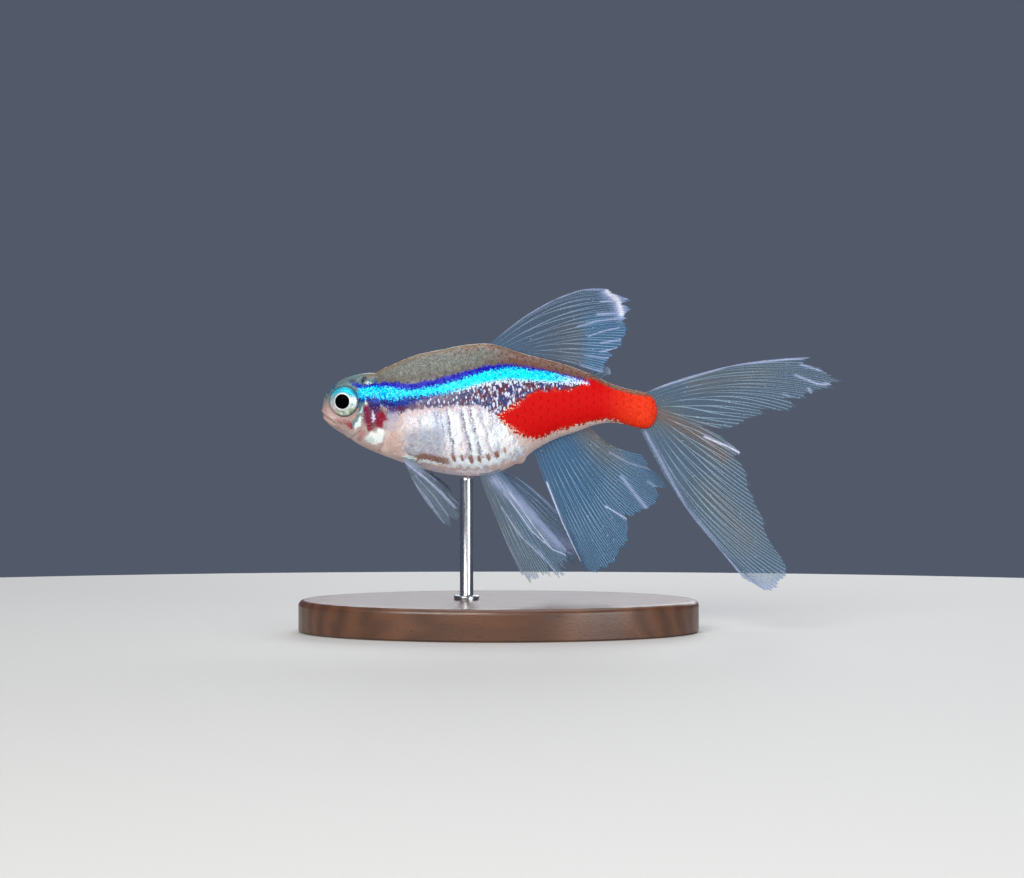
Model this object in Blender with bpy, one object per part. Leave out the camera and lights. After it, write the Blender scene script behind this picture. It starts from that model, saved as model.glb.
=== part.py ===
"""A long-finned neon tetra as a still, life-size display model: head, gill covers, torso, tail stalk,
eyes and nine fins, held over an oval wooden base by one steel pin.

The fish is laid out in millimetres in its own frame: x runs back from the tip of the snout, y runs to the
fish's right and z runs up from the body's long axis. Each mesh is written in metres and hangs from an
empty that lifts the fish to its height over the base. The origin is the middle of the base's underside.
"""

import math
import random

import bmesh
import bpy
import numpy as np
from mathutils import Vector

MM = 0.001

# Overall sizes, in millimetres
BODY_LENGTH = 25.1
STALK_ROUNDING = 1.0
GAP = 0.3
WELD = 0.002
AXIS_HEIGHT = 16.6
BASE_ALONG = 13.2

# The body: distance behind the snout, back, belly, half width, level of the widest point
STATIONS = (
    (0.00, 0.10, 0.10, 0.00, 0.10),
    (0.26, 1.20, -0.82, 0.74, 0.10),
    (0.82, 1.85, -1.36, 1.16, 0.15),
    (1.72, 2.42, -1.92, 1.55, 0.20),
    (2.84, 2.72, -2.66, 1.86, 0.10),
    (4.19, 2.98, -3.28, 2.10, -0.10),
    (5.20, 3.42, -3.66, 2.24, -0.30),
    (6.96, 4.12, -4.26, 2.42, -0.60),
    (9.06, 4.58, -4.78, 2.56, -0.90),
    (11.4, 4.97, -4.96, 2.54, -1.00),
    (12.6, 4.98, -4.84, 2.44, -0.95),
    (13.8, 4.66, -4.42, 2.24, -0.75),
    (15.0, 4.26, -3.70, 2.00, -0.45),
    (16.0, 4.00, -2.98, 1.80, -0.15),
    (17.5, 3.62, -2.18, 1.52, 0.20),
    (19.1, 3.10, -1.62, 1.26, 0.40),
    (20.4, 2.57, -1.15, 1.06, 0.50),
    (21.5, 2.05, -0.98, 0.92, 0.45),
    (22.6, 1.68, -1.12, 0.80, 0.25),
    (23.8, 1.42, -1.40, 0.68, 0.00),
    (25.1, 1.22, -1.44, 0.56, -0.10),
)
BACK_FULLNESS = 1.15
BELLY_FULLNESS = 0.92
BODY_RINGS = 30
STALK_RINGS = 5
RING_POINTS = 32

# The cuts that part the body, in millimetres
GILL_RADIUS = 6.08
GILL_CENTRE = (-1.21, -0.4)
STALK_START = 21.4
CUTTER_REACH = 6.0

# The head's features
EYE_CENTRE = (1.72, 0.67)
EYE_RADIUS = 1.13
EYE_SIDE = 1.12
EYE_DEPTH = 0.62
EYE_TURN = math.radians(15)
COVER_CENTRE = (4.10, -1.00)
COVER_HALF = (1.00, 1.65)
COVER_DEPTH = 1.38
COVER_REGION = ((-1, 9), (-8, 8))
NOSTRILS = ((0.27, 0.90), (0.46, 1.22))
NOSTRIL_RADIUS = 0.14
MOUTH_FRONT = (-0.05, -0.22)
MOUTH_CORNER = (0.98, -1.02)
MOUTH_SLIT = 0.13
LIP_RADIUS = 0.15
LIP_POINTS = 13

# How finely round shapes are divided: points around, and points from pole to pole of a ball
GILL_SIDES = 72
COVER_SIDES = 40
EYE_GRID = (24, 14)
PIT_GRID = (10, 6)
BASE_SIDES = 64
PIN_SIDES = 20

# Fin thickness, in millimetres
RAY_THICKNESS = 0.66
MEMBRANE_THICKNESS = 0.5
EDGE_SHARE = 0.45
TAPER_START = 0.62
ROOT_SINK = 0.25

# The stand, in millimetres
BASE_HALF = (15.0, 9.0)
BASE_HEIGHT = 2.4
BASE_CHAMFER = 0.4
PIN_ALONG = 10.8
PIN_RADIUS = 0.5

# Each fin: rays from front to rear, as root, middle and tip, each (x, z) in millimetres
DORSAL_RAYS = (
    ((12.50, 4.90), (17.40, 8.30), (21.22, 9.02)),
    ((12.80, 4.80), (17.96, 7.93), (23.35, 8.31)),
    ((13.32, 4.70), (18.41, 6.89), (22.98, 7.34)),
    ((13.92, 4.57), (18.71, 5.99), (23.05, 6.51)),
    ((14.45, 4.45), (18.71, 5.28), (22.75, 5.31)),
    ((14.90, 4.36), (18.35, 4.26), (21.75, 3.85)),
    ((15.34, 4.24), (18.10, 3.60), (21.00, 2.78)),
)
UPPER_LOBE_RAYS = (
    ((24.18, 1.30), (29.87, 3.14), (36.90, 3.97)),
    ((24.48, 1.15), (31.06, 2.99), (38.47, 2.54)),
    ((24.70, 0.95), (31.36, 2.40), (38.92, 1.72)),
    ((24.93, 0.72), (31.06, 1.80), (37.43, 1.20)),
    ((25.02, 0.45), (30.31, 1.20), (36.08, 0.15)),
    ((25.05, 0.26), (29.10, 0.30), (33.75, -0.40)),
    ((25.07, 0.10), (28.20, -0.84), (31.30, -1.38)),
)
LOWER_LOBE_RAYS = (
    ((25.07, -0.28), (28.25, -1.44), (31.74, -3.50)),
    ((25.05, -0.45), (28.52, -2.77), (31.96, -5.09)),
    ((25.00, -0.71), (28.67, -4.19), (32.63, -7.19)),
    ((24.90, -1.01), (28.74, -5.54), (33.53, -9.51)),
    ((24.70, -1.25), (28.59, -6.74), (34.58, -11.45)),
    ((24.40, -1.40), (28.22, -7.63), (34.36, -12.87)),
    ((24.10, -1.46), (27.69, -7.78), (33.23, -13.47)),
    ((23.80, -1.46), (27.10, -7.11), (31.66, -12.72)),
)
ANAL_RAYS = (
    ((15.87, -3.05), (17.51, -7.49), (19.54, -11.83)),
    ((16.32, -2.80), (18.34, -7.86), (20.58, -12.43)),
    ((16.84, -2.50), (19.31, -7.49), (21.71, -11.60)),
    ((17.44, -2.20), (20.36, -6.96), (22.83, -10.55)),
    ((18.04, -2.00), (20.81, -5.91), (23.10, -8.60)),
    ((18.56, -1.80), (21.33, -5.01), (24.55, -7.49)),
    ((19.09, -1.60), (21.86, -4.12), (25.45, -6.59)),
    ((19.61, -1.40), (22.16, -3.30), (25.90, -5.61)),
    ((20.06, -1.25), (21.63, -2.64), (24.18, -3.40)),
)
PELVIC_LEFT_RAYS = (
    ((11.75, -4.75), (13.32, -8.76), (14.90, -12.05)),
    ((12.05, -4.75), (13.92, -8.83), (15.64, -12.72)),
    ((12.43, -4.75), (14.60, -8.68), (16.77, -12.43)),
    ((12.80, -4.70), (15.12, -8.38), (18.04, -12.72)),
    ((13.10, -4.62), (15.42, -7.78), (18.56, -11.75)),
    ((13.40, -4.52), (15.57, -7.19), (18.71, -10.85)),
)
PELVIC_RIGHT_RAYS = (
    ((11.98, -4.75), (14.22, -8.38), (17.22, -12.28)),
    ((12.43, -4.72), (14.97, -8.08), (18.26, -12.13)),
    ((12.87, -4.66), (15.72, -7.63), (19.16, -11.38)),
    ((13.32, -4.55), (16.32, -6.44), (19.91, -10.55)),
)
PECTORAL_RAYS = (
    ((5.99, -3.30), (7.34, -5.99), (9.28, -8.46)),
    ((6.14, -3.35), (7.93, -6.06), (9.96, -8.46)),
    ((6.29, -3.40), (8.38, -5.76), (10.55, -7.93)),
    ((6.44, -3.42), (8.53, -5.31), (10.25, -7.04)),
    ((6.59, -3.42), (8.31, -4.95), (9.73, -5.95)),
)
ADIPOSE_RAYS = (
    ((20.00, 2.70), (20.55, 3.12), (21.35, 3.22)),
    ((20.35, 2.52), (20.90, 2.85), (21.60, 2.98)),
    ((20.75, 2.36), (21.15, 2.55), (21.65, 2.68)),
)

COLOURS = {
    "silver": ((0.78, 0.77, 0.78), 0.3, 0.4),
    "red": ((0.80, 0.03, 0.01), 0.4, 0.0),
    "gill": ((0.62, 0.60, 0.60), 0.3, 0.4),
    "fin": ((0.55, 0.68, 0.76), 0.4, 0.0),
    "eye": ((0.55, 0.85, 0.88), 0.1, 0.3),
    "wood": ((0.16, 0.07, 0.035), 0.45, 0.0),
    "steel": ((0.62, 0.62, 0.64), 0.25, 1.0),
}


def clear_scene():
    """Start from an empty scene."""
    for obj in list(bpy.data.objects):
        bpy.data.objects.remove(obj)


def new_collection(name, hidden=False):
    collection = bpy.data.collections.new(name)
    collection.hide_render = hidden
    bpy.context.scene.collection.children.link(collection)
    return collection


def to_mesh(bm, name, rounded=False):
    """Turn every face outwards and write the mesh."""
    bmesh.ops.recalc_face_normals(bm, faces=bm.faces)
    if bm.calc_volume(signed=True) < 0:
        bmesh.ops.reverse_faces(bm, faces=bm.faces)
    mesh = bpy.data.meshes.new(name)
    bm.to_mesh(mesh)
    bm.free()
    if rounded:
        mesh.shade_smooth()
    return mesh


def material(name):
    """A plain Principled finish in the part's own colour."""
    found = bpy.data.materials.get(name)
    if found:
        return found
    colour, roughness, metallic = COLOURS[name]
    made = bpy.data.materials.new(name)
    made.use_nodes = True
    shader = made.node_tree.nodes["Principled BSDF"]
    shader.inputs["Base Color"].default_value = (*colour, 1.0)
    shader.inputs["Roughness"].default_value = roughness
    shader.inputs["Metallic"].default_value = metallic
    return made


def smooth(at, xs, ys):
    """A curve through the points (xs, ys) with the slope at each taken from its two neighbours."""
    xs, ys = np.asarray(xs, float), np.asarray(ys, float)
    slopes = np.gradient(ys, xs)
    at = np.clip(at, xs[0], xs[-1])
    i = np.clip(np.searchsorted(xs, at, side="right") - 1, 0, len(xs) - 2)
    step = xs[i + 1] - xs[i]
    t = (at - xs[i]) / step
    return (
        (1 + 2 * t) * (1 - t) ** 2 * ys[i]
        + t * (1 - t) ** 2 * step * slopes[i]
        + t * t * (3 - 2 * t) * ys[i + 1]
        + t * t * (t - 1) * step * slopes[i + 1]
    )


def body_profile(x):
    """Back, belly, half width and widest level at x. The root of x is the driver, so the snout is round."""
    table = np.array(STATIONS)
    drive = np.sqrt(table[:, 0])
    back, belly, half, widest = (
        smooth(np.sqrt(x), drive, table[:, column]) for column in range(1, 5)
    )
    rounding_start = BODY_LENGTH - STALK_ROUNDING
    past = np.clip((x - rounding_start) / STALK_ROUNDING, 0, 1)
    closing = np.sqrt(1 - past**2)
    back = widest + (back - widest) * closing
    belly = widest + (belly - widest) * closing
    return back, belly, half * closing, widest


def body_point(x, angle):
    """The skin at x and at an angle round the body: 0 is the fish's right, a quarter turn is the back."""
    back, belly, half, widest = body_profile(x)
    c, s = np.cos(angle), np.sin(angle)
    fullness = np.where(s > 0, BACK_FULLNESS, BELLY_FULLNESS)
    y = half * np.sign(c) * np.abs(c) ** fullness
    z = widest + np.where(s > 0, back - widest, widest - belly) * s
    return np.stack(np.broadcast_arrays(x, y, z), -1)


def flank_width(x, z):
    """Half the body's width at x and level z."""
    back, belly, half, widest = body_profile(x)
    above = z > widest
    s = np.clip((z - widest) / np.where(above, back - widest, widest - belly), -1, 1)
    fullness = np.where(above, BACK_FULLNESS, BELLY_FULLNESS)
    return half * np.abs(1 - s**2) ** (fullness / 2)


def add_object(name, mesh, collection, finish=None, parent=None):
    obj = bpy.data.objects.new(name, mesh)
    collection.objects.link(obj)
    if finish:
        mesh.materials.append(material(finish))
    if parent:
        obj.parent = parent
    if collection.hide_render:
        obj.hide_render = True
        obj.display_type = "WIRE"
    return obj


def body_mesh(name, grow=0.0):
    """The whole body as a loft of oval rings, closed by a point at each end and grown along its normals.

    Flat triangles keep the later cuts clean, which bent quads would not.
    """
    rounding_start = BODY_LENGTH - STALK_ROUNDING
    front = np.linspace(0, math.sqrt(rounding_start), BODY_RINGS) ** 2
    turn = np.linspace(0, math.pi / 2, STALK_RINGS + 1)[1:]
    xs = np.concatenate([front[1:], rounding_start + STALK_ROUNDING * np.sin(turn)[:-1]])
    angles = np.linspace(0, 2 * math.pi, RING_POINTS, endpoint=False)
    rings = body_point(xs[:, None], angles[None, :])
    bm = bmesh.new()
    loops = [[bm.verts.new(point * MM) for point in ring] for ring in rings]
    snout = bm.verts.new(body_point(0.0, 0.0) * MM)
    end = bm.verts.new(body_point(BODY_LENGTH, 0.0) * MM)
    for i in range(RING_POINTS):
        j = (i + 1) % RING_POINTS
        bm.faces.new((snout, loops[0][j], loops[0][i]))
        bm.faces.new((end, loops[-1][i], loops[-1][j]))
        for a, b in zip(loops, loops[1:]):
            bm.faces.new((a[i], a[j], b[j], b[i]))
    bmesh.ops.recalc_face_normals(bm, faces=bm.faces)
    bm.normal_update()
    for vertex in bm.verts:
        vertex.co += vertex.normal * grow * MM
    bmesh.ops.triangulate(bm, faces=bm.faces)
    return to_mesh(bm, name, rounded=True)


def cylinder_mesh(name, centre, half, sides, reach=CUTTER_REACH):
    """An elliptic cylinder that lies across the body, round centre (x, z)."""
    bm = bmesh.new()
    bmesh.ops.create_cone(
        bm, cap_ends=True, segments=sides, radius1=1, radius2=1, depth=2 * reach * MM
    )
    for vertex in bm.verts:
        across, round_x, round_z = vertex.co.z, vertex.co.x, vertex.co.y
        vertex.co = Vector(
            (
                (centre[0] + half[0] * round_x) * MM,
                across,
                (centre[1] + half[1] * round_z) * MM,
            )
        )
    return to_mesh(bm, name)


def box_mesh(name, low, high):
    """A box between two corners, in millimetres."""
    low, high = Vector(low), Vector(high)
    bm = bmesh.new()
    bmesh.ops.create_cube(bm, size=1)
    for vertex in bm.verts:
        share = vertex.co + Vector((0.5, 0.5, 0.5))
        vertex.co = Vector([a + (b - a) * s for a, b, s in zip(low, high, share)]) * MM
    return to_mesh(bm, name)


def side_box(name, sign, depth):
    """Everything round one gill cover that lies farther out than depth on that side of the head."""
    near, far = sorted((sign * depth, sign * CUTTER_REACH))
    (front, rear), (low, high) = COVER_REGION
    return box_mesh(name, (front, near, low), (rear, far, high))


def ball_mesh(name, centre, radii, grid, turn=0.0):
    """A ball stretched to three radii. Its poles lie on the y axis, which is turned to face forward."""
    bm = bmesh.new()
    bmesh.ops.create_uvsphere(bm, u_segments=grid[0], v_segments=grid[1], radius=1)
    sign = math.copysign(1, centre[1])
    for vertex in bm.verts:
        x, z, y = (radius * v for radius, v in zip((radii[0], radii[2], radii[1]), vertex.co))
        forward = x * math.cos(turn) - y * math.sin(turn)
        outward = x * math.sin(turn) + y * math.cos(turn)
        vertex.co = Vector((centre[0] + forward, centre[1] + sign * outward, centre[2] + z)) * MM
    return to_mesh(bm, name, rounded=True)


def cut(obj, operation, *others, solver="EXACT"):
    """Add one Boolean modifier for each other object."""
    for other in others:
        boolean = obj.modifiers.new(f"{operation.lower()}_{other.name}", "BOOLEAN")
        boolean.operation = operation
        boolean.solver = solver
        boolean.object = other


def islands(bm):
    """The mesh's separate closed surfaces, as lists of faces."""
    left, found = set(bm.faces), []
    while left:
        stack, part = [left.pop()], []
        while stack:
            face = stack.pop()
            part.append(face)
            for edge in face.edges:
                for other in edge.link_faces:
                    if other in left:
                        left.remove(other)
                        stack.append(other)
        found.append(part)
    return found


def settle(obj):
    """Apply the modifiers, keep only the largest closed surface and weld the cuts' hair-thin edges."""
    bpy.context.view_layer.update()
    graph = bpy.context.evaluated_depsgraph_get()
    mesh = bpy.data.meshes.new_from_object(obj.evaluated_get(graph))
    obj.modifiers.clear()
    bm = bmesh.new()
    bm.from_mesh(mesh)
    parts = islands(bm)
    largest = max(parts, key=lambda part: sum(face.calc_area() for face in part))
    scraps = [face for part in parts if part is not largest for face in part]
    bmesh.ops.delete(bm, geom=scraps, context="FACES")
    bmesh.ops.remove_doubles(bm, verts=bm.verts, dist=WELD * MM)
    bm.to_mesh(mesh)
    bm.free()
    mesh.name = obj.name
    obj.data = mesh
    return obj


def tube_mesh(name, points, radius):
    """A closed tube along the points, made from a bevelled curve with its caps welded on."""
    curve = bpy.data.curves.new(name, "CURVE")
    curve.dimensions = "3D"
    curve.bevel_depth = radius * MM
    curve.bevel_resolution = 2
    curve.use_fill_caps = True
    spline = curve.splines.new("POLY")
    spline.points.add(len(points) - 1)
    for target, point in zip(spline.points, points):
        target.co = (*(Vector(point) * MM), 1.0)
    obj = bpy.data.objects.new(name, curve)
    bpy.context.scene.collection.objects.link(obj)
    bpy.context.view_layer.update()
    graph = bpy.context.evaluated_depsgraph_get()
    mesh = bpy.data.meshes.new_from_object(obj.evaluated_get(graph))
    bpy.data.objects.remove(obj)
    bm = bmesh.new()
    bm.from_mesh(mesh)
    bmesh.ops.remove_doubles(bm, verts=bm.verts, dist=1e-7)
    return to_mesh(bm, name)


def mouth_slit_mesh(name):
    """A thin tilted plate along the line of the mouth."""
    run = Vector((MOUTH_CORNER[0] - MOUTH_FRONT[0], 0, MOUTH_CORNER[1] - MOUTH_FRONT[1]))
    front = Vector((MOUTH_FRONT[0], 0, MOUTH_FRONT[1])) - run
    across = Vector((0, CUTTER_REACH, 0))
    lift = run.normalized().cross(Vector((0, 1, 0))) * MOUTH_SLIT / 2
    bm = bmesh.new()
    bmesh.ops.create_cube(bm, size=2)
    for vertex in bm.verts:
        x, y, z = vertex.co
        point = front + run * (1 + x) + across * y + lift * z
        vertex.co = point * MM
    return to_mesh(bm, name)


def lip_points(offset):
    """Points round the snout from one corner of the mouth to the other, offset up from the mouth's line."""
    points = []
    for share in np.linspace(-1, 1, LIP_POINTS):
        back = abs(share) ** 2
        x = MOUTH_FRONT[0] + (MOUTH_CORNER[0] - MOUTH_FRONT[0]) * back
        z = MOUTH_FRONT[1] + (MOUTH_CORNER[1] - MOUTH_FRONT[1]) * back + offset * (1 - back)
        x = max(x, front_of_snout(z) + LIP_RADIUS / 2)
        points.append((x, math.copysign(float(flank_width(x, z)), share), z))
    return points


def front_of_snout(z):
    """How far back the snout's outline is at level z."""
    xs = np.linspace(0.0, 2.0, 201)
    back, belly, _, _ = body_profile(xs)
    inside = (back > z) & (belly < z)
    return float(xs[np.argmax(inside)])


def fin_grid(rays, side, count, rows, seed, ragged):
    """The fin's middle surface as a grid: rays across, rows from root to tip, with a dip between rays."""
    keys = np.array(rays)
    columns = 2 * (count - 1) + 1
    k = np.linspace(0, 1, columns)
    key_at = np.linspace(0, 1, len(keys))
    root, middle, tip = (
        np.stack([smooth(k, key_at, keys[:, p, axis]) for axis in (0, 1)], -1)
        for p in range(3)
    )
    bend = 2 * middle - (root + tip) / 2
    start = (bend - root) / np.linalg.norm(bend - root, axis=1)[:, None]
    draw = random.Random(seed)
    is_ray = np.arange(columns) % 2 == 0
    reach = np.array([1 + draw.uniform(-ragged, ragged) if r else 1 - 1.4 * ragged for r in is_ray])
    t = np.linspace(0, 1, rows + 1)[None, :, None] * reach[:, None, None]
    flat = (1 - t) ** 2 * root[:, None] + 2 * t * (1 - t) * bend[:, None] + t**2 * tip[:, None]
    flat[:, 0] -= start * ROOT_SINK
    y = side(k[:, None], t[:, :, 0])
    points = np.stack([flat[:, :, 0], y, flat[:, :, 1]], -1)
    taper = np.interp(t[:, :, 0], (0, TAPER_START, 1), (1, 1, EDGE_SHARE))
    thickness = np.where(is_ray, RAY_THICKNESS, MEMBRANE_THICKNESS)[:, None] * taper
    return points, thickness


def fin(name, rays, side, count, rows, seed, ragged, collection, parent, clearance):
    """A fin: its middle surface as triangles, extruded to both sides, with its root cut to fit the body."""
    points, thickness = fin_grid(rays, side, count, rows, seed, ragged)
    bm = bmesh.new()
    half = bm.verts.layers.float.new("half_thickness")
    grid = [[bm.verts.new(point * MM) for point in column] for column in points]
    for column, sizes in zip(grid, thickness):
        for vertex, size in zip(column, sizes):
            vertex[half] = size / 2 * MM
    for left, right in zip(grid, grid[1:]):
        for row in range(rows):
            bm.faces.new((left[row], right[row], right[row + 1]))
            bm.faces.new((left[row], right[row + 1], left[row + 1]))
    grown = bmesh.ops.extrude_face_region(bm, geom=bm.faces[:], use_keep_orig=True)
    far = {item for item in grown["geom"] if isinstance(item, bmesh.types.BMVert)}
    for vertex in bm.verts:
        vertex.co.y += vertex[half] if vertex in far else -vertex[half]
    obj = add_object(name, to_mesh(bm, name), collection, "fin", parent)
    cut(obj, "DIFFERENCE", clearance)
    return settle(obj)


def dorsal_side(k, t):
    """The dorsal fin leans a little and its rear half folds towards the fish's left."""
    return 0.25 * t * np.sin(3.5 * k) - 1.05 * k * t**2


def anal_side(k, t):
    """The anal fin's rear swings to the fish's right, clear of the tail."""
    return 1.3 * k**1.5 * t + 0.3 * t**2 * np.sin(7 * k)


def upper_lobe_side(k, t):
    """The upper lobe of the tail fin swings to the fish's right and curls at its end."""
    return 0.5 * t + 0.9 * t**3 * (k - 0.3)


def lower_lobe_side(k, t):
    """The lower lobe of the tail fin swings to the fish's left, past the anal fin."""
    return -1.5 * t * (0.35 + 0.65 * k) + 0.35 * t**2 * np.sin(6 * k)


def paired_side(root, tip, sign, wave=0.3):
    """A paired fin starts at the flank and spreads away from the body."""

    def side(k, t):
        return sign * (root + (tip - root) * t + wave * t**2 * np.sin(4.5 * k))

    return side


# name, key rays, sideways form, number of rays, rows along a ray, seed of the worn edge, its depth
FINS = (
    ("dorsal_fin", DORSAL_RAYS, dorsal_side, 11, 10, 1, 0.03),
    ("anal_fin", ANAL_RAYS, anal_side, 20, 9, 2, 0.03),
    ("tail_fin_upper_lobe", UPPER_LOBE_RAYS, upper_lobe_side, 10, 11, 3, 0.03),
    ("tail_fin_lower_lobe", LOWER_LOBE_RAYS, lower_lobe_side, 10, 12, 4, 0.03),
    ("pelvic_fin_left", PELVIC_LEFT_RAYS, paired_side(0.8, 2.6, -1), 8, 9, 5, 0.03),
    ("pelvic_fin_right", PELVIC_RIGHT_RAYS, paired_side(0.8, 2.2, 1), 8, 9, 6, 0.03),
    ("pectoral_fin_left", PECTORAL_RAYS, paired_side(1.15, 3.6, -1, 0.2), 11, 7, 7, 0.03),
    ("pectoral_fin_right", PECTORAL_RAYS, paired_side(1.15, 3.6, 1, 0.2), 11, 7, 8, 0.03),
    ("adipose_fin", ADIPOSE_RAYS, paired_side(0.0, 0.0, 1, 0.0), 3, 4, 9, 0.01),
)


def build_head(parts, cutters, parent):
    """The head, cut from the body at the gill opening, with eyes, gill covers, mouth and nostrils."""
    near = (GILL_RADIUS - GAP / 2,) * 2
    region = cylinder_mesh("head_region", GILL_CENTRE, near, GILL_SIDES)
    region = add_object("head_region", region, cutters, None, parent)
    head = add_object("head", body_mesh("head"), parts, "silver", parent)
    cut(head, "INTERSECT", region)
    slit = add_object("mouth_slit", mouth_slit_mesh("mouth_slit"), cutters, None, parent)
    wider = [h + GAP for h in COVER_HALF]
    pockets = []
    for side_name, sign in (("left", -1), ("right", 1)):
        centre = (EYE_CENTRE[0], sign * EYE_SIDE, EYE_CENTRE[1])
        radii = (EYE_RADIUS, EYE_DEPTH, EYE_RADIUS)
        eye = ball_mesh(f"eye_{side_name}", centre, radii, EYE_GRID, EYE_TURN)
        add_object(f"eye_{side_name}", eye, parts, "eye", parent)
        socket = ball_mesh("socket", centre, [r + GAP for r in radii], EYE_GRID, EYE_TURN)
        pockets.append(add_object(f"socket_{side_name}", socket, cutters, None, parent))
        for number, (x, z) in enumerate(NOSTRILS):
            place = (x, sign * float(flank_width(x, z)), z)
            pit = ball_mesh("nostril", place, (NOSTRIL_RADIUS,) * 3, PIT_GRID)
            name = f"nostril_{side_name}_{number}"
            pockets.append(add_object(name, pit, cutters, None, parent))
        keep = side_box("keep", sign, COVER_DEPTH)
        keep = add_object(f"cover_side_{side_name}", keep, cutters, None, parent)
        oval = cylinder_mesh("oval", COVER_CENTRE, COVER_HALF, COVER_SIDES)
        oval = add_object(f"cover_oval_{side_name}", oval, cutters, None, parent)
        cover = add_object(f"gill_cover_{side_name}", body_mesh("cover"), parts, "gill", parent)
        cut(cover, "INTERSECT", region, oval, keep)
        settle(cover)
        pocket = cylinder_mesh("pocket", COVER_CENTRE, wider, COVER_SIDES)
        pocket = add_object(f"cover_pocket_{side_name}", pocket, cutters, None, parent)
        half = side_box("half", sign, COVER_DEPTH - GAP)
        half = add_object(f"cover_half_{side_name}", half, cutters, None, parent)
        cut(pocket, "INTERSECT", half)
        settle(pocket)
        pockets.append(pocket)
    lips = new_collection("lips")
    for number, offset in enumerate((0.5, -0.5)):
        lip = tube_mesh("lip", lip_points(offset * (MOUTH_SLIT + 2 * LIP_RADIUS)), LIP_RADIUS)
        add_object(f"lip_{number}", lip, lips, None, parent)
    fuse(head, lips)
    cut(head, "DIFFERENCE", slit, *pockets)
    return settle(head)


def fuse(obj, collection):
    """Join every closed mesh of the collection to the object, and then remove them."""
    union = obj.modifiers.new("join", "BOOLEAN")
    union.operation = "UNION"
    union.operand_type = "COLLECTION"
    union.collection = collection
    union.solver = "EXACT"
    settle(obj)
    for piece in list(collection.objects):
        bpy.data.objects.remove(piece)
    bpy.data.collections.remove(collection)


def build_trunk(parts, cutters, parent):
    """The torso, from the gill opening to the tail stalk, and the stalk."""
    far = (GILL_RADIUS + GAP / 2,) * 2
    front = cylinder_mesh("front", GILL_CENTRE, far, GILL_SIDES)
    front = add_object("front_region", front, cutters, None, parent)
    low, high = -CUTTER_REACH, CUTTER_REACH
    rear = box_mesh("rear", (STALK_START - GAP / 2, low, low), (BODY_LENGTH + 2, high, high))
    rear = add_object("rear_region", rear, cutters, None, parent)
    stalk = box_mesh("stalk", (STALK_START + GAP / 2, low, low), (BODY_LENGTH + 2, high, high))
    stalk = add_object("stalk_region", stalk, cutters, None, parent)
    torso = add_object("torso", body_mesh("torso"), parts, "silver", parent)
    cut(torso, "DIFFERENCE", front, rear)
    settle(torso)
    tail = add_object("tail_stalk", body_mesh("tail_stalk"), parts, "red", parent)
    cut(tail, "INTERSECT", stalk)
    settle(tail)


def build_stand(parts, cutters, fish, clearance):
    """An oval base with one upright pin that ends just under the belly."""
    bm = bmesh.new()
    bmesh.ops.create_cone(
        bm, cap_ends=True, segments=BASE_SIDES, radius1=1, radius2=1, depth=BASE_HEIGHT * MM
    )
    for vertex in bm.verts:
        vertex.co.x *= BASE_HALF[0] * MM
        vertex.co.y *= BASE_HALF[1] * MM
        vertex.co.z += BASE_HEIGHT / 2 * MM
    top = [e for e in bm.edges if all(v.co.z > BASE_HEIGHT / 2 * MM for v in e.verts)]
    rim = [e for e in top if len([f for f in e.link_faces if len(f.verts) > 4]) == 1]
    bmesh.ops.bevel(bm, geom=rim, offset=BASE_CHAMFER * MM, segments=2, affect="EDGES", profile=0.5)
    add_object("stand_base", to_mesh(bm, "stand_base"), parts, "wood")
    pin_x = PIN_ALONG - BASE_ALONG
    foot = BASE_HEIGHT + GAP
    height = float(body_profile(PIN_ALONG)[1]) + AXIS_HEIGHT + 1.0 - foot
    bm = bmesh.new()
    radius = PIN_RADIUS * MM
    bmesh.ops.create_cone(
        bm, cap_ends=True, segments=PIN_SIDES, radius1=radius, radius2=radius, depth=height * MM
    )
    pin = add_object("stand_pin", to_mesh(bm, "stand_pin"), parts, "steel")
    pin.location = (pin_x * MM, 0, (foot + height / 2) * MM)
    cut(pin, "DIFFERENCE", clearance)
    settle(pin)


def main():
    clear_scene()
    parts = new_collection("neon_tetra")
    cutters = new_collection("cutters", hidden=True)
    fish = bpy.data.objects.new("fish_axis", None)
    fish.location = (-BASE_ALONG * MM, 0, AXIS_HEIGHT * MM)
    parts.objects.link(fish)
    clearance = add_object("body_clearance", body_mesh("body_clearance", GAP), cutters, None, fish)
    build_head(parts, cutters, fish)
    build_trunk(parts, cutters, fish)
    for form in FINS:
        fin(*form, parts, fish, clearance)
    build_stand(parts, cutters, fish, clearance)


main()
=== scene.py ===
# %% [markdown]
# # A long-finned neon tetra, finished for a display case
#
# The solids already give the fish its true size and outline: head, gill covers, torso, tail stalk, two
# eyes, nine fins and a small stand. This lesson dresses them. The flesh gets one skin without seams and
# thin scales that overlap, the eyes get their iris and lens, and the fins become films with fine rays.
#
# Every surface here is a formula of two numbers on a grid, worked out as whole arrays. Blender is only
# handed the finished points and faces.

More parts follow.
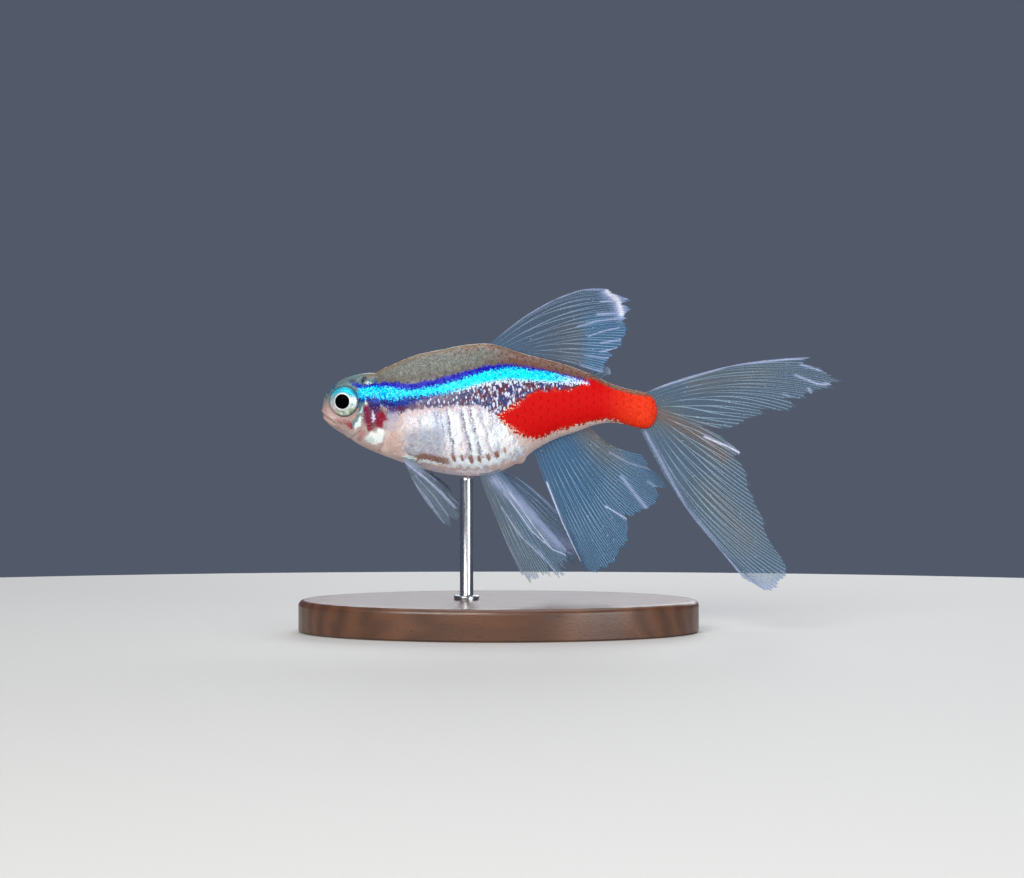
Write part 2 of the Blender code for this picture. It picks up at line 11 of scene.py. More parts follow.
import bpy
import numpy as np
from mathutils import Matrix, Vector


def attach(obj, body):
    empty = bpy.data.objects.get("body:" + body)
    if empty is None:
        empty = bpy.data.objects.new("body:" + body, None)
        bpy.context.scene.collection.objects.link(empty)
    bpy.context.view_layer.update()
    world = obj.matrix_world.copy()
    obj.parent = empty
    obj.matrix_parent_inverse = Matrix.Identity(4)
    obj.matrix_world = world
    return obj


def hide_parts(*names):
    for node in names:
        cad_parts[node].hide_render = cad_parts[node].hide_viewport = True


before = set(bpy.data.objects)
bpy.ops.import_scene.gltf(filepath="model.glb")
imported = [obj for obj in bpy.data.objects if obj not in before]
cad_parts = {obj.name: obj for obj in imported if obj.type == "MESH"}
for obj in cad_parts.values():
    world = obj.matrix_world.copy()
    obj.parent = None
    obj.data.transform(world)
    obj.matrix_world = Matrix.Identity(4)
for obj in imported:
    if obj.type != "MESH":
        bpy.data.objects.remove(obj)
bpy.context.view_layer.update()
print("solids:", ", ".join(sorted(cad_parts)))

# %% [markdown]
# ## Measures
#
# A fish is easiest to think of in its own millimetres: x runs back from the tip of the snout, y to the
# fish's right and z up from the body's long axis. The frame is in metres, with its origin under the
# middle of the stand's base, so one short function carries points from the fish to the frame.

# %% From the fish's millimetres to the frame's metres
MM = 0.001
BASE_ALONG = 13.2
AXIS_HEIGHT = 16.6


def to_frame(points):
    """Move the fish's points over the stand and turn millimetres into metres."""
    return (np.asarray(points, float) + (-BASE_ALONG, 0.0, AXIS_HEIGHT)) * MM


# %% [markdown]
# ## The camera
#
# The fish is seen square from its left side, a little from above, with the long lens of a close-up. A
# long lens keeps the far fins as large as the near ones. A short lens close by would swell the belly and
# shrink the tail.

# %% The camera
VIEW_WIDTH = 76.6
VIEW_CENTRE = (14.2, 0.0, -2.17)
CAMERA_DISTANCE = 250.0
CAMERA_RISE = 2.0
SENSOR_WIDTH = 36.0

camera_data = bpy.data.cameras.new("case_camera")
camera_data.sensor_width = SENSOR_WIDTH
camera_data.lens = SENSOR_WIDTH * CAMERA_DISTANCE / VIEW_WIDTH
camera_data.clip_start = 0.005
camera_data.clip_end = 5.0
camera = bpy.data.objects.new("case_camera", camera_data)
bpy.context.scene.collection.objects.link(camera)
rise = np.radians(CAMERA_RISE)
aim = Vector(to_frame(VIEW_CENTRE))
camera.location = aim + Vector((0.0, -np.cos(rise), np.sin(rise))) * CAMERA_DISTANCE * MM
camera.rotation_euler = (aim - camera.location).to_track_quat("-Z", "Y").to_euler()
bpy.context.scene.camera = camera
print("lens:", round(camera_data.lens, 1), "mm")

# %% [markdown]
# ## Points and faces
#
# Each piece of the model is a grid of points, closed to rings or laid as a sheet. Sculpting by hand would
# do for one fish, but a formula can be read, checked and changed. These helpers hand a grid to Blender and
# keep extra numbers at its points, which the shaders read later.

# %% Helpers that turn grids of points into objects


def grid_faces(rows, columns, wrap=False):
    """Four-sided faces of a grid whose points are numbered row by row; wrap joins the last column."""
    row, column = np.meshgrid(np.arange(rows - 1), np.arange(columns - (not wrap)), indexing="ij")
    beside = (column + 1) % columns
    corners = (row * columns + column, row * columns + beside)
    corners += ((row + 1) * columns + beside, (row + 1) * columns + column)
    return np.stack(corners, -1).reshape(-1, 4)


def turned_faces(rings, sides):
    """The faces of rings round one axis, with a fan to a middle point at each end."""
    faces = list(grid_faces(rings, sides, wrap=True))
    first = np.arange(sides)
    last = first + (rings - 1) * sides
    faces += [(rings * sides, b, a) for a, b in zip(first, np.roll(first, -1))]
    faces += [(rings * sides + 1, a, b) for a, b in zip(last, np.roll(last, -1))]
    return faces


def rim_loop(rows, columns):
    """The numbers of a grid's points along its edge, once round."""
    edge = np.arange(rows * columns).reshape(rows, columns)
    return np.concatenate([edge[0], edge[1:, -1], edge[-1, -2::-1], edge[-2:0:-1, 0]])


def add_mesh(name, points, faces, smooth=True):
    """An object at the origin from points in the frame's metres and faces of three or four corners."""
    mesh = bpy.data.meshes.new(name)
    mesh.from_pydata(np.asarray(points).reshape(-1, 3).tolist(), [], [list(face) for face in faces])
    mesh.update()
    if smooth:
        mesh.shade_smooth()
    obj = bpy.data.objects.new(name, mesh)
    bpy.context.scene.collection.objects.link(obj)
    return obj


def set_values(obj, **values):
    """Keep one number, or one colour with its strength, for each point of the mesh."""
    for name, array in values.items():
        coloured = np.ndim(array) > 1 and np.shape(array)[-1] == 4
        kind = "FLOAT_COLOR" if coloured else "FLOAT"
        layer = obj.data.attributes.new(name, kind, "POINT")
        key = "color" if coloured else "value"
        layer.data.foreach_set(key, np.ascontiguousarray(array, np.float32).ravel())


def report(obj):
    """Say how fine a piece is."""
    obj.data.calc_loop_triangles()
    print(obj.name, len(obj.data.loop_triangles), "triangles")


print("a grid of 3 by 4 points has", len(grid_faces(3, 4)), "faces")

# %% [markdown]
# ## Shaders in few words
#
# Fish skin has layers of pigment and crystals, so its shader needs many nodes. They could be wired by hand
# in the node editor. In code, a few short words do the wiring, and a finish can be read from top to bottom.
# Colours are written as a screen shows them and turned into the linear values that light is computed with.

# %% Colours and nodes


def display(red, green, blue):
    """A colour given as seen on a screen, 0 to 255, as the linear values that Blender computes with."""
    seen = np.array((red, green, blue)) / 255
    linear = np.where(seen <= 0.04045, seen / 12.92, ((seen + 0.055) / 1.055) ** 2.4)
    return (*[float(v) for v in linear], 1.0)


class Wires:
    """Short words for making and joining the nodes of one tree."""

    def __init__(self, tree):
        self.tree = tree

    def add(self, kind, sockets=(), **settings):
        """A node with its settings; each socket is given a value or another node's output."""
        node = self.tree.nodes.new(kind)
        for key, value in settings.items():
            setattr(node, key, value)
        for socket, value in dict(sockets).items():
            self.put(node.inputs[socket], value)
        return node

    def put(self, socket, value):
        if isinstance(value, bpy.types.NodeSocket):
            self.tree.links.new(value, socket)
        else:
            socket.default_value = value

    def read(self, name):
        """The number that each point of the mesh keeps under this name."""
        return self.add("ShaderNodeAttribute", attribute_name=name).outputs["Fac"]

    def maths(self, operation, a, b=0.0, clamp=False):
        return self.add("ShaderNodeMath", {0: a, 1: b}, operation=operation, use_clamp=clamp).outputs[0]

    def times(self, a, b, clamp=False):
        return self.maths("MULTIPLY", a, b, clamp)

    def plus(self, a, b, clamp=False):
        return self.maths("ADD", a, b, clamp)

    def minus(self, a, b):
        return self.maths("SUBTRACT", a, b)

    def most(self, a, b):
        return self.maths("MAXIMUM", a, b)

    def step(self, value, low, high):
        """0 under low, 1 over high and a smooth rise between them."""
        sockets = {"Value": value, "From Min": low, "From Max": high}
        return self.add("ShaderNodeMapRange", sockets, interpolation_type="SMOOTHSTEP").outputs[0]

    def along(self, start, end):
        """0 ahead of start and 1 behind end, in millimetres behind the snout."""
        return self.step(self.read("rear"), start, end)

    def near(self, value, middle, outer, inner):
        """1 close to the middle and 0 from the outer distance on."""
        return self.step(self.maths("ABSOLUTE", self.minus(value, middle)), outer, inner)

    def scaled(self, value, low, high):
        """Stretch 0..1 to low..high."""
        return self.add("ShaderNodeMapRange", {"Value": value, "To Min": low, "To Max": high}).outputs[0]

    def swing(self, value, size):
        """Stretch 0..1 to as much below nothing as above it."""
        return self.scaled(value, -size, size)

    def blend(self, share, first, second):
        """A share of the second colour over the first."""
        node = self.add("ShaderNodeMix", {0: share, 6: first, 7: second}, data_type="RGBA")
        return node.outputs[2]

    def place(self, stretch=(1, 1, 1), turn=(0, 0, 0)):
        """The point's place on the object, stretched and turned."""
        where = self.add("ShaderNodeTexCoord").outputs["Object"]
        return self.add("ShaderNodeMapping", {"Vector": where, "Scale": stretch, "Rotation": turn}).outputs[0]

    def grain(self, size, detail=2.0, where=None, rough=0.5):
        """Cloudy noise with blobs about this many millimetres across."""
        sockets = {"Scale": 1 / (size * MM), "Detail": detail, "Roughness": rough}
        sockets["Vector"] = where or self.place()
        return self.add("ShaderNodeTexNoise", sockets).outputs["Fac"]

    def cells(self, size, where=None):
        """Small cells: a random number for each cell, and how far the point is from the cell's middle."""
        sockets = {"Scale": 1 / (size * MM), "Vector": where or self.place()}
        node = self.add("ShaderNodeTexVoronoi", sockets)
        chance = self.add("ShaderNodeSeparateColor", {0: node.outputs["Color"]}).outputs[0]
        return chance, node.outputs["Distance"]

    def bump(self, height, depth):
        """The surface's normal, tilted as if the height stood out by this many millimetres."""
        return self.add("ShaderNodeBump", {"Height": height, "Distance": depth * MM}).outputs[0]


print("middle grey on a screen is", round(display(128, 128, 128)[0], 3), "in linear light")

# %% Groups and materials


def new_group(name, inputs, outputs):
    """A node group with named sockets, its wires, and its input and output nodes."""
    group = bpy.data.node_groups.new(name, "ShaderNodeTree")
    for label, kind, value in inputs:
        socket = group.interface.new_socket(label, in_out="INPUT", socket_type=kind)
        socket.default_value = value
    for label, kind in outputs:
        group.interface.new_socket(label, in_out="OUTPUT", socket_type=kind)
    wires = Wires(group)
    return group, wires, wires.add("NodeGroupInput").outputs, wires.add("NodeGroupOutput").inputs


def new_material(name):
    """An empty material with its wires and its Principled shader."""
    material = bpy.data.materials.new(name)
    material.use_nodes = True
    wires = Wires(material.node_tree)
    return material, wires, material.node_tree.nodes["Principled BSDF"].inputs


print("materials so far:", len(bpy.data.materials))

# %% [markdown]
# ## The floor
#
# A pale table top throws soft light up under the belly. It is one flat disc, a middle point with a ring
# round it, that ends a little way behind the stand.

# %% The floor
FLOOR_RADIUS = 150.0
FLOOR_FORWARD = 90.0
FLOOR_SIDES = 256


def make_floor():
    """A flat disc: the middle point and one ring of points round it."""
    turn = np.linspace(0, 2 * np.pi, FLOOR_SIDES, endpoint=False)
    ring = np.stack([np.cos(turn), np.sin(turn), np.zeros_like(turn)], -1) * FLOOR_RADIUS
    points = (np.vstack([[(0, 0, 0)], ring]) - (0, FLOOR_FORWARD, 0)) * MM
    beside = np.roll(np.arange(FLOOR_SIDES), -1)
    faces = np.stack([np.zeros(FLOOR_SIDES, int), np.arange(FLOOR_SIDES) + 1, beside + 1], -1)
    floor = add_mesh("table_top", points, faces, smooth=False)
    material, w, shader = new_material("table_top")
    w.put(shader["Base Color"], display(200, 199, 196))
    w.put(shader["Roughness"], 0.7)
    floor.data.materials.append(material)


make_floor()
print("floor:", 2 * FLOOR_RADIUS, "mm across")

# %% [markdown]
# ## The room's light
#
# A silver belly needs something broad to mirror, so four large soft boxes stand round the case, as in a
# photographer's tent. The room itself is a quiet slate grey: clear fins have white rays, and these would
# be lost against a white wall.

# %% The room's light
ROOM_COLOUR = display(82, 89, 105)
SOFT_BOXES = (
    # name, place, width and height in millimetres, watts, colour
    ("key_light", (-110.0, -260.0, 190.0), (220.0, 160.0), 0.95, (1.0, 0.98, 0.95)),
    ("side_light", (190.0, -230.0, 60.0), (160.0, 160.0), 0.42, (0.95, 0.98, 1.0)),
    ("top_light", (20.0, 60.0, 320.0), (260.0, 160.0), 0.42, (1.0, 1.0, 1.0)),
    ("back_light", (60.0, 240.0, 120.0), (220.0, 120.0), 0.3, (0.92, 0.96, 1.0)),
)


def light_room():
    """Large soft lights round the stand, each turned to the middle of the fish, and an even grey room."""
    for name, place, size, watts, colour in SOFT_BOXES:
        light = bpy.data.lights.new(name, "AREA")
        light.shape = "RECTANGLE"
        light.size, light.size_y = (side * MM for side in size)
        light.energy = watts
        light.color = colour
        lamp = bpy.data.objects.new(name, light)
        lamp.location = Vector(place) * MM
        lamp.rotation_euler = (aim - lamp.location).to_track_quat("-Z", "Y").to_euler()
        bpy.context.scene.collection.objects.link(lamp)
    world = bpy.data.worlds.new("slate_room")
    world.use_nodes = True
    world.node_tree.nodes["Background"].inputs["Color"].default_value = ROOM_COLOUR
    bpy.context.scene.world = world
    bpy.context.scene.view_settings.view_transform = "Standard"


light_room()
print("lights:", len(SOFT_BOXES))

# %% [markdown]
# ## Curves
#
# An outline that was measured at a few places has to run smoothly between them. A spline library could do
# it, but a cubic with the neighbours' slope takes ten lines and works on whole arrays. The bell and the
# fade are the two other curves of this script: one for low hills and grooves, one for soft edges.

# %% Curves through measured points


def smooth_curve(at, xs, ys):
    """A curve through the points (xs, ys) whose slope at each is taken from its two neighbours."""
    xs, ys = np.asarray(xs, float), np.asarray(ys, float)
    slopes = np.gradient(ys, xs)
    at = np.clip(at, xs[0], xs[-1])
    i = np.clip(np.searchsorted(xs, at, side="right") - 1, 0, len(xs) - 2)
    step = xs[i + 1] - xs[i]
    t = (at - xs[i]) / step
    return (
        (1 + 2 * t) * (1 - t) ** 2 * ys[i]
        + t * (1 - t) ** 2 * step * slopes[i]
        + t * t * (3 - 2 * t) * ys[i + 1]
        + t * t * (t - 1) * step * slopes[i + 1]
    )


def bell(distance, width):
    """1 on a line, fading softly to nothing a few widths away."""
    return np.exp(-((distance / width) ** 2))


def fade(value, start, end):
    """0 before start, 1 past end and a smooth rise between them."""
    t = np.clip((value - start) / (end - start), 0, 1)
    return t * t * (3 - 2 * t)


print("a fade from 0 to 1 is at", fade(0.25, 0, 1), "after a quarter of the way")

# %% [markdown]
# ## The body's shape
#
# A tetra's body is an oval tube, flat from side to side. Four numbers tell its whole form at any distance
# behind the snout: where the back and the belly are, half the width, and the level at which it is widest.
# The snout is round because the curves run on the root of the distance, which rises steeply at first, as a
# circle does. A cage with subdivision could give the same form, but here any point of the body can be
# asked for by its distance and its angle, and the scales and markings need that.

# %% The oval tube
BODY_LENGTH = 25.1
STALK_ROUNDING = 1.0
STATIONS = (
    # distance behind the snout, back, belly, half width, level of the widest point
    (0.00, 0.10, 0.10, 0.00, 0.10),
    (0.26, 1.20, -0.82, 0.74, 0.10),
    (0.82, 1.85, -1.36, 1.16, 0.15),
    (1.72, 2.42, -1.92, 1.55, 0.20),
    (2.84, 2.72, -2.66, 1.86, 0.10),
    (4.19, 2.98, -3.28, 2.10, -0.10),
    (5.20, 3.42, -3.66, 2.24, -0.30),
    (6.96, 4.12, -4.26, 2.42, -0.60),
    (9.06, 4.58, -4.78, 2.56, -0.90),
    (11.4, 4.97, -4.96, 2.54, -1.00),
    (12.6, 4.98, -4.84, 2.44, -0.95),
    (13.8, 4.66, -4.42, 2.24, -0.75),
    (15.0, 4.26, -3.70, 2.00, -0.45),
    (16.0, 4.00, -2.98, 1.80, -0.15),
    (17.5, 3.62, -2.18, 1.52, 0.20),
    (19.1, 3.10, -1.62, 1.26, 0.40),
    (20.4, 2.57, -1.15, 1.06, 0.50),
    (21.5, 2.05, -0.98, 0.92, 0.45),
    (22.6, 1.68, -1.12, 0.80, 0.25),
    (23.8, 1.42, -1.40, 0.68, 0.00),
    (25.1, 1.22, -1.44, 0.56, -0.10),
)
BACK_FULLNESS = 1.15
BELLY_FULLNESS = 0.92


def body_profile(x):
    """Back, belly, half width and widest level at x, drawn together to a round end on the tail stalk."""
    table = np.array(STATIONS)
    drive = np.sqrt(table[:, 0])
    levels = [smooth_curve(np.sqrt(x), drive, table[:, column]) for column in range(1, 5)]
    back, belly, half, widest = levels
    past = np.clip((x - BODY_LENGTH + STALK_ROUNDING) / STALK_ROUNDING, 0, 1)
    closing = np.sqrt(1 - past**2)
    back, belly = (widest + (edge - widest) * closing for edge in (back, belly))
    return back, belly, half * closing, widest


def body_point(x, angle):
    """The plain body at x and at an angle round it: 0 is the fish's right, a quarter turn is its back."""
    back, belly, half, widest = body_profile(x)
    c, s = np.cos(angle), np.sin(angle)
    fullness = np.where(s > 0, BACK_FULLNESS, BELLY_FULLNESS)
    y = half * np.sign(c) * np.abs(c) ** fullness
    z = widest + np.where(s > 0, back - widest, widest - belly) * s
    return np.stack(np.broadcast_arrays(x, y, z), -1)


def body_normal(x, angle, small=0.004):
    """The way out of the body: the cross product of the slope round it and the slope along it."""
    before, after = np.maximum(x - small, 0), np.minimum(x + small, BODY_LENGTH)
    along = body_point(after, angle) - body_point(before, angle)
    around = body_point(x, angle + small) - body_point(x, angle - small)
    normal = np.cross(around, along)
    return normal / np.maximum(np.linalg.norm(normal, axis=-1, keepdims=True), 1e-12)


print("greatest height:", round(float(np.ptp(body_profile(np.array(12.0))[:2])), 2), "mm")

# %% [markdown]
# ## The markings
#
# Mirror-like crystals make the blue stripe, red pigment cells the red patch, and a silver lining the
# belly. Each marking has an edge that can be drawn as a curve over x. For every point the script keeps how
# far inside an edge it lies, and the shader turns that distance into colour, with grain along the edge,
# as on the real fish. Skin and scales ask the same functions, so they always agree.

# %% Edges of the markings, seen from the side
STRIPE_EDGES = (
    # x, top of the indigo, top of the cyan, bottom of the cyan, bottom of the deep blue
    (2.7, 1.74, 1.58, 0.80, 0.55),
    (3.9, 1.98, 1.66, 0.92, 0.50),
    (5.0, 2.06, 1.66, 0.74, 0.20),
    (6.4, 1.96, 1.46, 0.92, 0.30),
    (7.3, 2.06, 1.52, 1.02, 0.62),
    (8.3, 2.28, 1.70, 1.14, 0.92),
    (10.2, 2.72, 2.18, 1.42, 1.36),
    (12.1, 3.22, 2.78, 1.88, 1.84),
    (14.0, 3.38, 3.10, 2.14, 2.12),
    (15.4, 3.18, 2.98, 2.06, 2.04),
    (17.0, 2.90, 2.76, 1.98, 1.96),
    (18.6, 2.50, 2.40, 1.92, 1.90),
    (19.9, 2.10, 2.06, 1.90, 1.88),
)
BAND_BOTTOM = (
    (4.4, -0.1),
    (5.4, -0.7),
    (6.2, -0.25),
    (7.4, 0.0),
    (9.2, 0.1),
    (10.5, 0.2),
    (12.0, 0.1),
    (13.2, -0.75),
    (14.2, -0.3),
    (15.8, 0.6),
    (17.0, 1.0),
    (19.5, 1.5),
)
SILVER_EDGES = (
    # x, top, bottom
    (5.9, -0.9, -2.2),
    (6.4, -0.25, -3.7),
    (7.7, 0.00, -3.98),
    (9.2, 0.10, -4.30),
    (10.5, 0.18, -4.48),
    (12.0, 0.05, -4.50),
    (13.2, -0.5, -4.12),
    (13.9, -1.5, -3.8),
    (14.7, -2.4, -3.5),
    (15.2, -3.1, -3.2),
)
RED_EDGES = (
    # x, top, bottom
    (13.1, -0.35, -0.5),
    (13.5, -0.02, -0.95),
    (14.2, 0.40, -1.60),
    (15.0, 0.85, -2.00),
    (15.8, 1.38, -2.22),
    (16.5, 1.52, -2.12),
    (17.1, 1.54, -1.86),
    (18.5, 1.62, -1.40),
    (19.4, 1.95, -1.18),
    (20.2, 2.50, -0.98),
    (21.2, 2.90, -0.85),
    (22.3, 2.90, -1.10),
    (23.6, 2.90, -1.70),
    (25.1, 2.90, -1.90),
)


def between(x, z, edges, top=1, bottom=2):
    """How far inside a band a point lies."""
    table = np.array(edges)
    high = smooth_curve(x, table[:, 0], table[:, top])
    low = smooth_curve(x, table[:, 0], table[:, bottom])
    ends = np.minimum(x - table[0, 0], table[-1, 0] - x)
    return np.minimum(np.minimum(high - z, z - low), ends)


def over(x, z, edges, column=1):
    """How high a point lies over an edge."""
    table = np.array(edges)
    return z - smooth_curve(x, table[:, 0], table[:, column])


print("places on the edges:", sum(map(len, (STRIPE_EDGES, BAND_BOTTOM, SILVER_EDGES, RED_EDGES))))

# %% [markdown]
# ## The belly's folds
#
# A full belly shows a few upright creases where the muscle segments meet, and they end below in a row of
# small white lobes. They could be sculpted, but each is simply a line in a slanted measure: the measure
# grows across the folds and leans back on the way down. The mesh gets shallow grooves from it, and later
# the shader draws the finer lines from the same measure.

# %% Folds and scallops
FOLDS = (
    # place across the folds, how deep
    (8.85, 0.35),
    (9.30, 0.95),
    (10.38, 1.0),
    (11.02, 0.95),
    (11.70, 0.55),
    (12.35, 0.3),
)
FOLD_TOP = 0.3
FOLD_LENGTH = 3.5
FOLD_LEAN = 1.1
FOLD_SPREAD = 0.18
SCALLOP = 0.64
SCALLOP_LEVEL = 0.45


def pleats(x, z):
    """A point's place across the belly's folds, which lean back on their way down, the rear ones most."""
    down = np.clip((FOLD_TOP - z) / FOLD_LENGTH, -0.2, 1.3)
    return (x + FOLD_LEAN * down) / (1 + FOLD_SPREAD * down)


def folds(x, z):
    """Thin grooves down the belly, strongest at mid height."""
    place = pleats(x, z)
    lines = np.max([depth * bell(place - at, 0.085) for at, depth in FOLDS], axis=0)
    return lines * fade(z, -3.7, -3.0) * (1 - fade(z, -0.1, 0.4))


def scallops(x, z):
    """The folds' lower ends: a row of rounded lobes along the silver's lower edge."""
    level = over(x, z, SILVER_EDGES, 2)
    lobes = np.sin(2 * np.pi * (x + 0.25 * level) / SCALLOP)
    return lobes * bell(level - SCALLOP_LEVEL, 0.36) * fade(x, 9.0, 9.8) * (1 - fade(x, 13.4, 14.4))


print("folds:", len(FOLDS))

# %% [markdown]
# ## The face and the gill covers
#
# A real head isn't smooth. The mouth is a slit between two lips, two nostrils sit before the eye, the eye
# lies in a socket, and the gill cover ends in a free edge. Each can be a low hill or a groove that is
# added to the skin along its normal. Seen from the side each has a simple outline, a line or a circle,
# and the height depends on the distance to that outline. This keeps the face one surface.

# %% Places on the head
EYE_CENTRE = (1.72, 0.67)
EYE_RADIUS = 1.13
EYE_SIDE = 1.12
EYE_DEPTH = 0.62
EYE_TURN = np.radians(15.0)
GILL_RADIUS = 6.08
GILL_CENTRE = (-1.21, -0.4)
CHEEK_CENTRE = (0.9, 0.3)
CHEEK_RADIUS = 2.75
NOSTRILS = ((0.27, 0.90), (0.46, 1.22))
MOUTH_FRONT = (-0.05, -0.22)
MOUTH_CORNER = (0.98, -1.02)
LIP_OFFSET = 0.17
NAPE = 3.95
VENT = 14.9


def mouth_place(x, z):
    """How far along the mouth's line a point is, from 0 at the front to 1 at the corner, and off it."""
    run = np.subtract(MOUTH_CORNER, MOUTH_FRONT)
    length = np.hypot(*run)
    dx, dz = x - MOUTH_FRONT[0], z - MOUTH_FRONT[1]
    return (dx * run[0] + dz * run[1]) / length**2, (dx * run[1] - dz * run[0]) / length


def gill_distance(x, z):
    """How far behind the free edge of the gill cover a point is."""
    return np.hypot(x - GILL_CENTRE[0], z - GILL_CENTRE[1]) - GILL_RADIUS


print("gill edge on the axis at", round(GILL_CENTRE[0] + GILL_RADIUS, 2), "mm")

# %% Hills and grooves
LIP_HEIGHT = 0.085
MOUTH_DEPTH = 0.13
DIMPLE = 0.05
NOSTRIL_RIM = 0.035
NOSTRIL_DEPTH = 0.1
GILL_LIP = 0.06
GILL_STEP = 0.17
CHEEK_RIDGE = 0.03
CHEEK_GROOVE = 0.045
JAW_LEVEL = 0.75
JAW_SLOPE = 0.55
JAW_GROOVE = 0.03
FOLD_DEPTH = 0.045
SCALLOP_HEIGHT = 0.03
NAPE_DIP = 0.1
VENT_HEIGHT = 0.26


def face_relief(x, z):
    """Lips with a dimple behind the mouth's corner, and two nostrils with their rims."""
    share, off = mouth_place(x, z)
    mouth = 1 - fade(share, 0.85, 1.15)
    height = mouth * (LIP_HEIGHT * bell(np.abs(off) - LIP_OFFSET, 0.1) - MOUTH_DEPTH * bell(off, 0.045))
    height += DIMPLE * bell(share - 1.12, 0.22) * bell(off, 0.2)
    for nostril in NOSTRILS:
        reach = np.hypot(x - nostril[0], z - nostril[1])
        height += NOSTRIL_RIM * bell(reach - 0.16, 0.05) - NOSTRIL_DEPTH * bell(reach, 0.085)
    return height


def cover_relief(x, z):
    """The gill cover's free edge, the groove behind the cheek and the one along the jaw."""
    gill = gill_distance(x, z)
    open_part = fade(z, -3.3, -2.7) * (1 - fade(z, 1.3, 2.0))
    edge = GILL_LIP * bell(gill + 0.12, 0.16) - GILL_STEP * fade(gill, -0.03, 0.05) * bell(gill, 0.45)
    height = open_part * edge
    cheek = np.hypot(x - CHEEK_CENTRE[0], z - CHEEK_CENTRE[1]) - CHEEK_RADIUS
    behind_eye = fade(x, 1.2, 2.2) * (1 - fade(z, 0.4, 1.4))
    height += behind_eye * (CHEEK_RIDGE * bell(cheek + 0.22, 0.16) - CHEEK_GROOVE * bell(cheek, 0.09))
    jaw = z + JAW_LEVEL + JAW_SLOPE * x
    return height - JAW_GROOVE * bell(jaw, 0.09) * fade(x, 0.9, 1.3) * (1 - fade(x, 2.6, 3.2))


def relief(x, z, angle):
    """The height of the skin's own forms over the plain body, in millimetres."""
    height = face_relief(x, z) + cover_relief(x, z)
    height -= FOLD_DEPTH * folds(x, z)
    height += SCALLOP_HEIGHT * np.clip(scallops(x, z), -0.4, 1)
    top = np.clip(np.sin(angle), 0, 1) ** 3
    height -= NAPE_DIP * top * bell(x - NAPE, 0.3)
    under = np.clip(-np.sin(angle), 0, 1) ** 40
    return height + VENT_HEIGHT * under * bell(x - VENT, 0.3)


print("height of the upper lip:", round(float(face_relief(0.3, -0.25)), 3), "mm")

# %% [markdown]
# ## The eye sockets
#
# The eye's rim is a flat circle that leans forward a little, and skin has to meet it all round. A boolean
# cut would leave a hard edge. Instead the skin's points near the eye are drawn sideways to the plane of
# the rim, with a low bead round it, and inside the rim they sink behind the eyeball.

# %% Skin that meets the eye
SOCKET_BEAD = 0.05
SOCKET_SINK = 0.3


def into_socket(points):
    """Draw the skin round each eye to the eye's tilted rim and let it pass behind the eyeball."""
    x, y, z = (points[..., axis] for axis in range(3))
    reach = np.hypot((x - EYE_CENTRE[0]) / np.cos(EYE_TURN), z - EYE_CENTRE[1])
    rim = EYE_SIDE + np.tan(EYE_TURN) * (x - EYE_CENTRE[0])
    rim = rim + SOCKET_BEAD * bell(reach - 1.24, 0.07) - SOCKET_SINK * (1 - fade(reach, 0.86, 1.08))
    pull = 1 - fade(reach, 1.14, 1.62)
    pulled = np.where(np.abs(y) > 0.3, np.sign(y) * (np.abs(y) * (1 - pull) + rim * pull), y)
    return np.stack([x, pulled, z], -1)


def skin_point(x, angle, lift=0.0):
    """The finished skin: the plain body, its own forms, and a lift along the normal."""
    plain = body_point(x, angle)
    height = relief(plain[..., 0], plain[..., 2], angle) + lift
    return into_socket(plain + body_normal(x, angle) * height[..., None])


print("tip of the snout:", skin_point(np.zeros(1), np.zeros(1)).round(3)[0].tolist())
